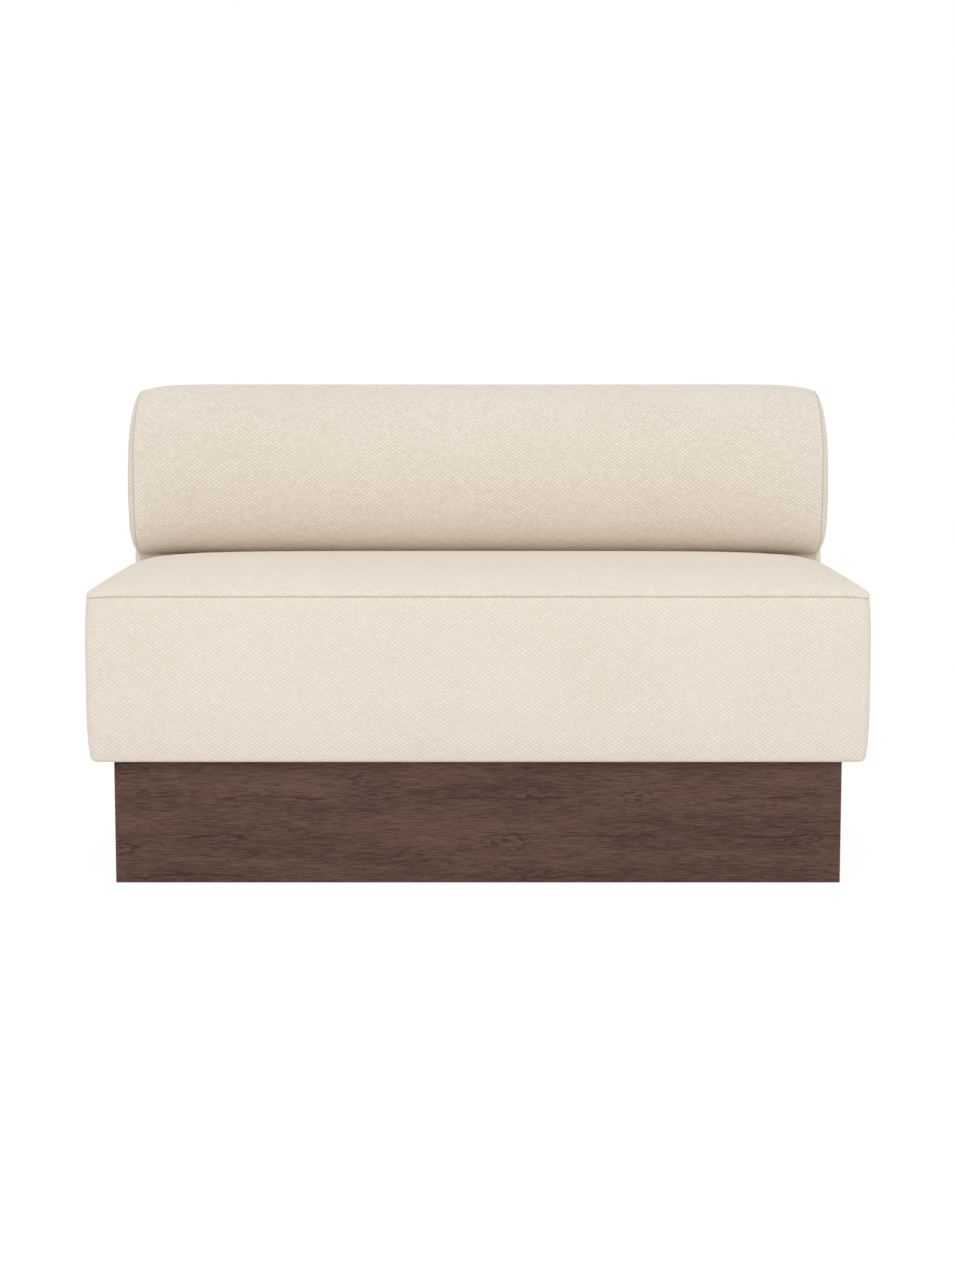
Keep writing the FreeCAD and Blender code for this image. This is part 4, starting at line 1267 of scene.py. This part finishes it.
    def drawn_loop(self, x: float) -> list[Place]:
        """The profile, drawn in towards the end seams but not in the crease.

        Args:
            x: Distance from the middle.

        Returns:
            The ring's places.
        """
        shrink = self.draw * math.exp(-(self.half - abs(x)) / self.draw_run)
        places = []
        for (y, z), (drawn_y, drawn_z) in zip(self.loop(0.0), self.loop(shrink)):
            share = smooth_share(z - self.underside, self.draw_rise)
            places.append((y + (drawn_y - y) * share, z + (drawn_z - z) * share))
        return places

    def lay_wrap(self) -> list[list[int]]:
        """Lays the points of the wrap and its faces, with the hem and opening under it.

        Returns:
            The points' numbers, one ring for each station across.
        """
        rows, columns = self.grid()
        crease = len(self.neck_rows) - 1
        foot_from = 2 * rows + columns - 2
        bend = self.top - self.rear_radius
        straight = next(n for n, share in enumerate(self.roll_rows) if self.roll_rear(share, 0.0)[1] > bend)
        rear_flat = range(foot_from - (crease + straight), foot_from)
        rings, runs = [], []
        for x in self.across:
            profile = self.drawn_loop(x)
            run = run_lengths(profile + profile[:1])
            gap = self.half - abs(x)
            drawn = math.exp(-gap / self.draw_run)
            ring = []
            for number, (y, z) in enumerate(profile):
                under = number <= crease + 1 or number >= foot_from
                held = under or number in rear_flat or gap < TOLERANCE
                room = min(gap, run[number] - run[crease + 1], abs(run[rear_flat.start] - run[number]))
                slack = 0.0 if held else smooth_share(room, self.ease)
                lean = self.lean * smooth_share(z - self.lean_from, self.lean_rise) * drawn
                place = Vector((x - math.copysign(lean, x), y, z))
                ring.append(self.shell.point(place, float(held), slack, gap))
            rings.append(ring)
            runs.append(run)
        self.face_wrap(rings, runs[len(runs) // 2])
        return rings

    def face_wrap(self, rings: list[list[int]], run: list[float]) -> None:
        """Lays the wrap's faces, and an opening where the dust sheet closes it.

        Args:
            rings: The wrap's points.
            run: Lengths of cloth along the middle ring.
        """
        count = len(rings[0])
        sheet_low, sheet_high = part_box("back_dust_sheet")
        for k in range(len(rings) - 1):
            for n in range(count):
                m = (n + 1) % count
                near, far = [self.shell.points[rings[k][p]] for p in (n, m)]
                low = max(near.z, far.z) < self.foot + TOLERANCE
                closed = (min(near.y, far.y) > sheet_low[1] and max(near.y, far.y) < sheet_high[1]
                          and max(abs(self.across[k]), abs(self.across[k + 1])) < sheet_high[0])
                panel = Panel.OPENING if low and closed else Panel.WRAP
                spots = ((k, n), (k + 1, n), (k + 1, n + 1), (k, n + 1))
                self.shell.face((rings[k][n], rings[k + 1][n], rings[k + 1][m], rings[k][m]), panel,
                                tuple((self.across[a], run[b]) for a, b in spots))

    def lay_end(self, ring: list[int], side: int) -> None:
        """Lays the puffed panel at one end.

        Args:
            ring: The wrap's points at that end.
            side: -1 for the left end and 1 for the right.
        """
        rows, columns = self.grid()
        grid = {}
        for r in range(rows):
            grid[r, 0] = ring[r]
            grid[r, columns - 1] = ring[2 * rows + columns - 3 - r]
        for c in range(1, columns - 1):
            grid[rows - 1, c] = ring[rows - 1 + c]
            grid[0, c] = ring[len(ring) - c]
        edge = [self.shell.points[number].copy() for number in ring]
        steps = list(zip(edge, edge[1:] + edge[:1]))
        for r in range(1, rows - 1):
            first, last = self.shell.points[grid[r, 0]], self.shell.points[grid[r, columns - 1]]
            for c in range(1, columns - 1):
                place = first.lerp(last, self.depth_rows[c])
                gap = min(self._distance(place, *step) for step in steps)
                higher = smooth_share(place.z - self.puff_from, self.puff_rise)
                puff = self.puff + (self.puff_top - self.puff) * higher
                place.x += side * puff * (1 - math.exp(-gap / self.puff_run))
                grid[r, c] = self.shell.point(place, 0.0, smooth_share(gap, self.ease), gap)
        panel = Panel.LEFT_END if side < 0 else Panel.RIGHT_END
        for cell in grid_cells(rows, columns):
            corners = tuple(grid[spot] for spot in cell[::side])
            places = [self.shell.points[n] for n in corners]
            self.shell.face(corners, panel, tuple((place.y * side, place.z) for place in places))

    @staticmethod
    def _distance(place: Vector, start: Vector, stop: Vector) -> float:
        """Distance from a place to a straight step of the outline.

        Args:
            place: The place.
            start: Where the step starts.
            stop: Where it stops.

        Returns:
            The distance.
        """
        along = stop - start
        share = max(0.0, min(1.0, (place - start).dot(along) / max(along.length_squared, TINY)))
        return (place - start - along * share).length

    def build(self) -> list[list[Vector]]:
        """Makes the back's panels.

        Returns:
            The points of the two end seams.
        """
        rings = self.lay_wrap()
        self.lay_end(rings[0], -1)
        self.lay_end(rings[-1], 1)
        self.shell.inflate(self.inflation, Filling(("back_foam_roll",)))
        self.join(Panel.WRAP, "back_wrap_cloth", 0.85, "back_wrap_panel")
        for panel, side in ((Panel.LEFT_END, "left"), (Panel.RIGHT_END, "right")):
            self.join(panel, f"back_end_cloth_{side}", 0.85, f"back_end_panel_{side}",
                      f"back_end_pad_{side}")
        return [[self.shell.points[number] for number in ring] for ring in (rings[0], rings[-1])]


@dataclass
class SeamStitching:
    """Thread stitches that lie in the seams, repeated along each seam's line."""

    pitch: float = 0.0052
    length: float = 0.0040
    thickness: float = 0.0007
    uneven: tuple[float, float] = (0.88, 1.06)
    finish: Finish = SEAM_THREAD

    def tree(self) -> bpy.types.NodeTree:
        """Makes the node tree that sets stitches along a line.

        Returns:
            The tree.
        """
        tree = bpy.data.node_groups.new(STITCH_TREE, "GeometryNodeTree")
        for name, kind in (("Seam", "Geometry"), ("Pitch", "Float"), ("Length", "Float"),
                           ("Thickness", "Float"), ("Thread", "Material")):
            tree.interface.new_socket(name, in_out="INPUT", socket_type=f"NodeSocket{kind}")
        tree.interface.new_socket("Stitches", in_out="OUTPUT", socket_type="NodeSocketGeometry")
        sheet = NodeSheet(tree)
        given = sheet.add("NodeGroupInput").outputs
        line = sheet.add("GeometryNodeMeshToCurve", {0: given["Seam"]}).outputs[0]
        spaced = sheet.add("GeometryNodeResampleCurve", {"Curve": line, "Length": given["Pitch"]},
                           mode="LENGTH")
        stitch = sheet.add("GeometryNodeMeshUVSphere", {"Segments": 6, "Rings": 4, "Radius": 0.5})
        tangent = sheet.add("GeometryNodeInputTangent").outputs[0]
        turn = sheet.add("FunctionNodeAlignRotationToVector", {"Vector": tangent}, axis="X")
        limits = {DRAW_LEAST: self.uneven[0], DRAW_MOST: self.uneven[1], "Seed": STITCH_SEED}
        draw = sheet.add("FunctionNodeRandomValue", limits, data_type="FLOAT").outputs[DRAW_RESULT]
        size = sheet.joined(sheet.times(given["Length"], draw), given["Thickness"], given["Thickness"])
        row = sheet.add("GeometryNodeInstanceOnPoints",
                        {"Points": spaced.outputs[0], "Instance": stitch.outputs["Mesh"],
                         "Rotation": turn.outputs[0], "Scale": size})
        real = sheet.add("GeometryNodeRealizeInstances", {0: row.outputs[0]})
        painted = sheet.add("GeometryNodeSetMaterial", {0: real.outputs[0], "Material": given["Thread"]})
        sheet.add("NodeGroupOutput", {0: painted.outputs[0]})
        return tree

    def sew(self, name: str, seams: Sequence[Sequence[Vector]]) -> None:
        """Sews stitches along seams, as one plain mesh.

        Args:
            name: The piece's name.
            seams: The seams as closed rings of points.
        """
        points, edges = [], []
        for seam in seams:
            start = len(points)
            points += list(seam)
            edges += [(start + k, start + (k + 1) % len(seam)) for k in range(len(seam))]
        path = meshed(f"{name}_line", points, (), edges)
        tree = bpy.data.node_groups.get(STITCH_TREE) or self.tree()
        setter = path.modifiers.new("stitches", "NODES")
        setter.node_group = tree
        values = {"Pitch": self.pitch, "Length": self.length, "Thickness": self.thickness,
                  "Thread": self.finish.material()}
        for item in tree.interface.items_tree:
            if item.in_out == "INPUT" and item.name in values:
                setter[item.identifier] = values[item.name]
        mesh = bpy.data.meshes.new_from_object(path.evaluated_get(bpy.context.evaluated_depsgraph_get()))
        path.modifiers.remove(setter)
        bpy.data.objects.remove(path)
        mesh.name = name
        mesh.shade_smooth()
        piece = placed(name, mesh)
        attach(piece, ROOT_BODY)
        log.info("%s: %d faces", name, len(mesh.polygons))


@dataclass
class PlinthJoinery:
    """Four veneered boards mitred round the plinth, with their edges eased."""

    half: float = 0.563
    front: float = -0.290
    rear: float = 0.295
    height: float = 0.195
    thickness: float = 0.020
    eased: float = 0.0008
    eased_steps: int = 2

    def board(self, name: str, outer: tuple[Vector, Vector], inward: Vector, run: GrainRun) -> None:
        """Makes one mitred board.

        Args:
            name: The piece's name, whose solid is the node of the same place.
            outer: The two ends of its outer face at the floor.
            inward: Direction from the outer face to the inner.
            run: Which way its grain runs.
        """
        start, stop = outer
        along = (stop - start).normalized()
        inner = (stop + (inward - along) * self.thickness, start + (inward + along) * self.thickness)
        shape = bmesh.new()
        foot = [shape.verts.new(place) for place in (start, stop, *inner)]
        head = [shape.verts.new(vert.co + Vector((0, 0, self.height))) for vert in foot]
        shape.faces.new(foot[::-1])
        shape.faces.new(head)
        for k in range(4):
            n = (k + 1) % 4
            shape.faces.new((foot[k], foot[n], head[n], head[k]))
        bmesh.ops.recalc_face_normals(shape, faces=shape.faces)
        wear = shape.faces.layers.float.new(EDGE_WEAR)
        eased = bmesh.ops.bevel(shape, geom=list(shape.edges), offset=self.eased,
                                segments=self.eased_steps, profile=0.5, affect="EDGES",
                                clamp_overlap=True)["faces"]
        for face in eased:
            face[wear] = 1.0
        bmesh.ops.recalc_face_normals(shape, faces=shape.faces)
        mesh = bpy.data.meshes.new(name)
        shape.to_mesh(mesh)
        shape.free()
        piece = placed(name, mesh)
        mesh.materials.append(STAINED_OAK[run].material())
        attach(piece, ROOT_BODY)
        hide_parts(name.replace("_board", "_panel"))
        log.info("%s: %d faces", name, len(mesh.polygons))

    def build(self) -> None:
        """Makes the four boards."""
        corners = [Vector((x, y, 0)) for x, y in ((-self.half, self.front), (self.half, self.front),
                                                  (self.half, self.rear), (-self.half, self.rear))]
        sides = (("front", Vector((0, 1, 0)), GrainRun.LENGTHWAYS),
                 ("right", Vector((-1, 0, 0)), GrainRun.FRONT_TO_REAR),
                 ("rear", Vector((0, -1, 0)), GrainRun.LENGTHWAYS),
                 ("left", Vector((1, 0, 0)), GrainRun.FRONT_TO_REAR))
        for k, (side, inward, run) in enumerate(sides):
            self.board(f"plinth_{side}_board", (corners[k], corners[(k + 1) % 4]), inward, run)


@dataclass
class InnerFrame:
    """The solids that keep their own shape: frames, filling, straps, fixings and feet."""

    slots: dict[str, str]
    finishes: dict[str, Finish] = field(default_factory=lambda: dict(FRAME_FINISHES))

    def dress(self) -> None:
        """Gives each solid that still shows the finish of its material slot."""
        for name, solid in frame["nodes"].items():
            finish = self.finishes.get(self.slots[name])
            if solid.hide_render or finish is None:
                continue
            solid.data.materials.clear()
            solid.data.materials.append(finish.material())
            log.info("%s: %s", name, finish.name)


@dataclass
class Studio:
    """White studio: floor, soft light and the camera of the photograph."""

    image_height: int = 1275
    focal_pixels: float = 2421.0
    eye: tuple[float, float, float] = (0.0, -3.987, 0.819)
    tilt: float = 6.71
    sensor: float = 36.0
    ambient: float = 0.885
    floor_reach: float = 12.0
    floor_shade: float = 0.82
    floor_roughness: float = 0.9
    floor_glow: float = 1.03
    floor_glow_share: float = 0.93
    lamp_power: float = 84.0
    lamp_size: tuple[float, float] = (5.0, 2.6)
    lamp_place: tuple[float, float, float] = (0.0, -6.0, 2.7)
    lamp_aim: tuple[float, float, float] = (0.0, 0.0, 0.4)

    def build(self) -> None:
        """Makes floor, light and camera."""
        self.lay_floor()
        self.light()
        self.set_camera()
        bpy.context.scene.view_settings.view_transform = "Standard"

    @staticmethod
    def seen(sheet: NodeSheet) -> Socket:
        """Adds the test of whether a ray comes from the camera, a reflection or through glass."""
        path = sheet.add("ShaderNodeLightPath").outputs
        return sheet.sum("MAXIMUM", path["Is Camera Ray"],
                         sheet.sum("MAXIMUM", path["Is Glossy Ray"], path["Is Transmission Ray"]))

    def lay_floor(self) -> None:
        """Lays the pale floor, which shows white but for the shadow."""
        r = self.floor_reach
        floor = meshed("floor", [(-r, -r, 0), (r, -r, 0), (r, r, 0), (-r, r, 0)], [(0, 1, 2, 3)])
        paint = bpy.data.materials.new("pale_floor")
        paint.use_nodes = True
        sheet = NodeSheet(paint.node_tree)
        shader = paint.node_tree.nodes["Principled BSDF"]
        sheet.fill(shader, {"Base Color": (self.floor_shade, self.floor_shade, self.floor_shade, 1),
                            "Roughness": self.floor_roughness, "Specular IOR Level": 0.0})
        glow = sheet.add("ShaderNodeEmission", {"Color": (1, 1, 1, 1), "Strength": self.floor_glow})
        share = sheet.times(self.seen(sheet), self.floor_glow_share)
        mixed = sheet.add("ShaderNodeMixShader", {0: share, 1: shader.outputs[0], 2: glow.outputs[0]})
        sheet.fill(paint.node_tree.nodes["Material Output"], {"Surface": mixed.outputs[0]})
        floor.data.materials.append(paint)

    def light(self) -> None:
        """Sets the white surround and one broad lamp in front."""
        world = bpy.data.worlds.new("studio")
        bpy.context.scene.world = world
        world.use_nodes = True
        sheet = NodeSheet(world.node_tree)
        strength = sheet.scaled(self.seen(sheet), 1.0 - self.ambient, self.ambient)
        sheet.fill(world.node_tree.nodes["Background"], {"Color": (1, 1, 1, 1), "Strength": strength})
        lamp = bpy.data.lights.new("softbox", "AREA")
        lamp.shape = "RECTANGLE"
        lamp.size, lamp.size_y = self.lamp_size
        lamp.energy = self.lamp_power
        box = placed("softbox", lamp)
        box.location = self.lamp_place
        box.rotation_euler = (Vector(self.lamp_aim) - box.location).to_track_quat("-Z", "Y").to_euler()

    def set_camera(self) -> None:
        """Sets the camera where the photograph was taken from."""
        lens = bpy.data.cameras.new("camera")
        lens.sensor_fit = "VERTICAL"
        lens.sensor_width = lens.sensor_height = self.sensor
        lens.lens = self.focal_pixels / self.image_height * self.sensor
        camera = placed("camera", lens)
        camera.location = self.eye
        camera.rotation_euler = (math.radians(90.0 - self.tilt), 0.0, 0.0)
        bpy.context.scene.camera = camera


def main() -> None:
    """Builds the sofa's visual model over its solids."""
    logging.basicConfig(level=logging.INFO, format="%(name)s: %(message)s")
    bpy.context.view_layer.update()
    Studio().build()
    seat_seam = SeatUpholstery(SEAT_CLOTH).build()
    end_seams = BackUpholstery(SHADED_BACK_CLOTH).build()
    stitching = SeamStitching()
    stitching.sew("seat_seam_stitches", [seat_seam])
    stitching.sew("back_seam_stitches", end_seams)
    PlinthJoinery().build()
    slots = {row["node"]: row["material_slot"] for row in frame["record"]["subparts"]}
    InnerFrame(slots).dress()
    bpy.context.view_layer.update()


if __name__ == "__main__":
    main()
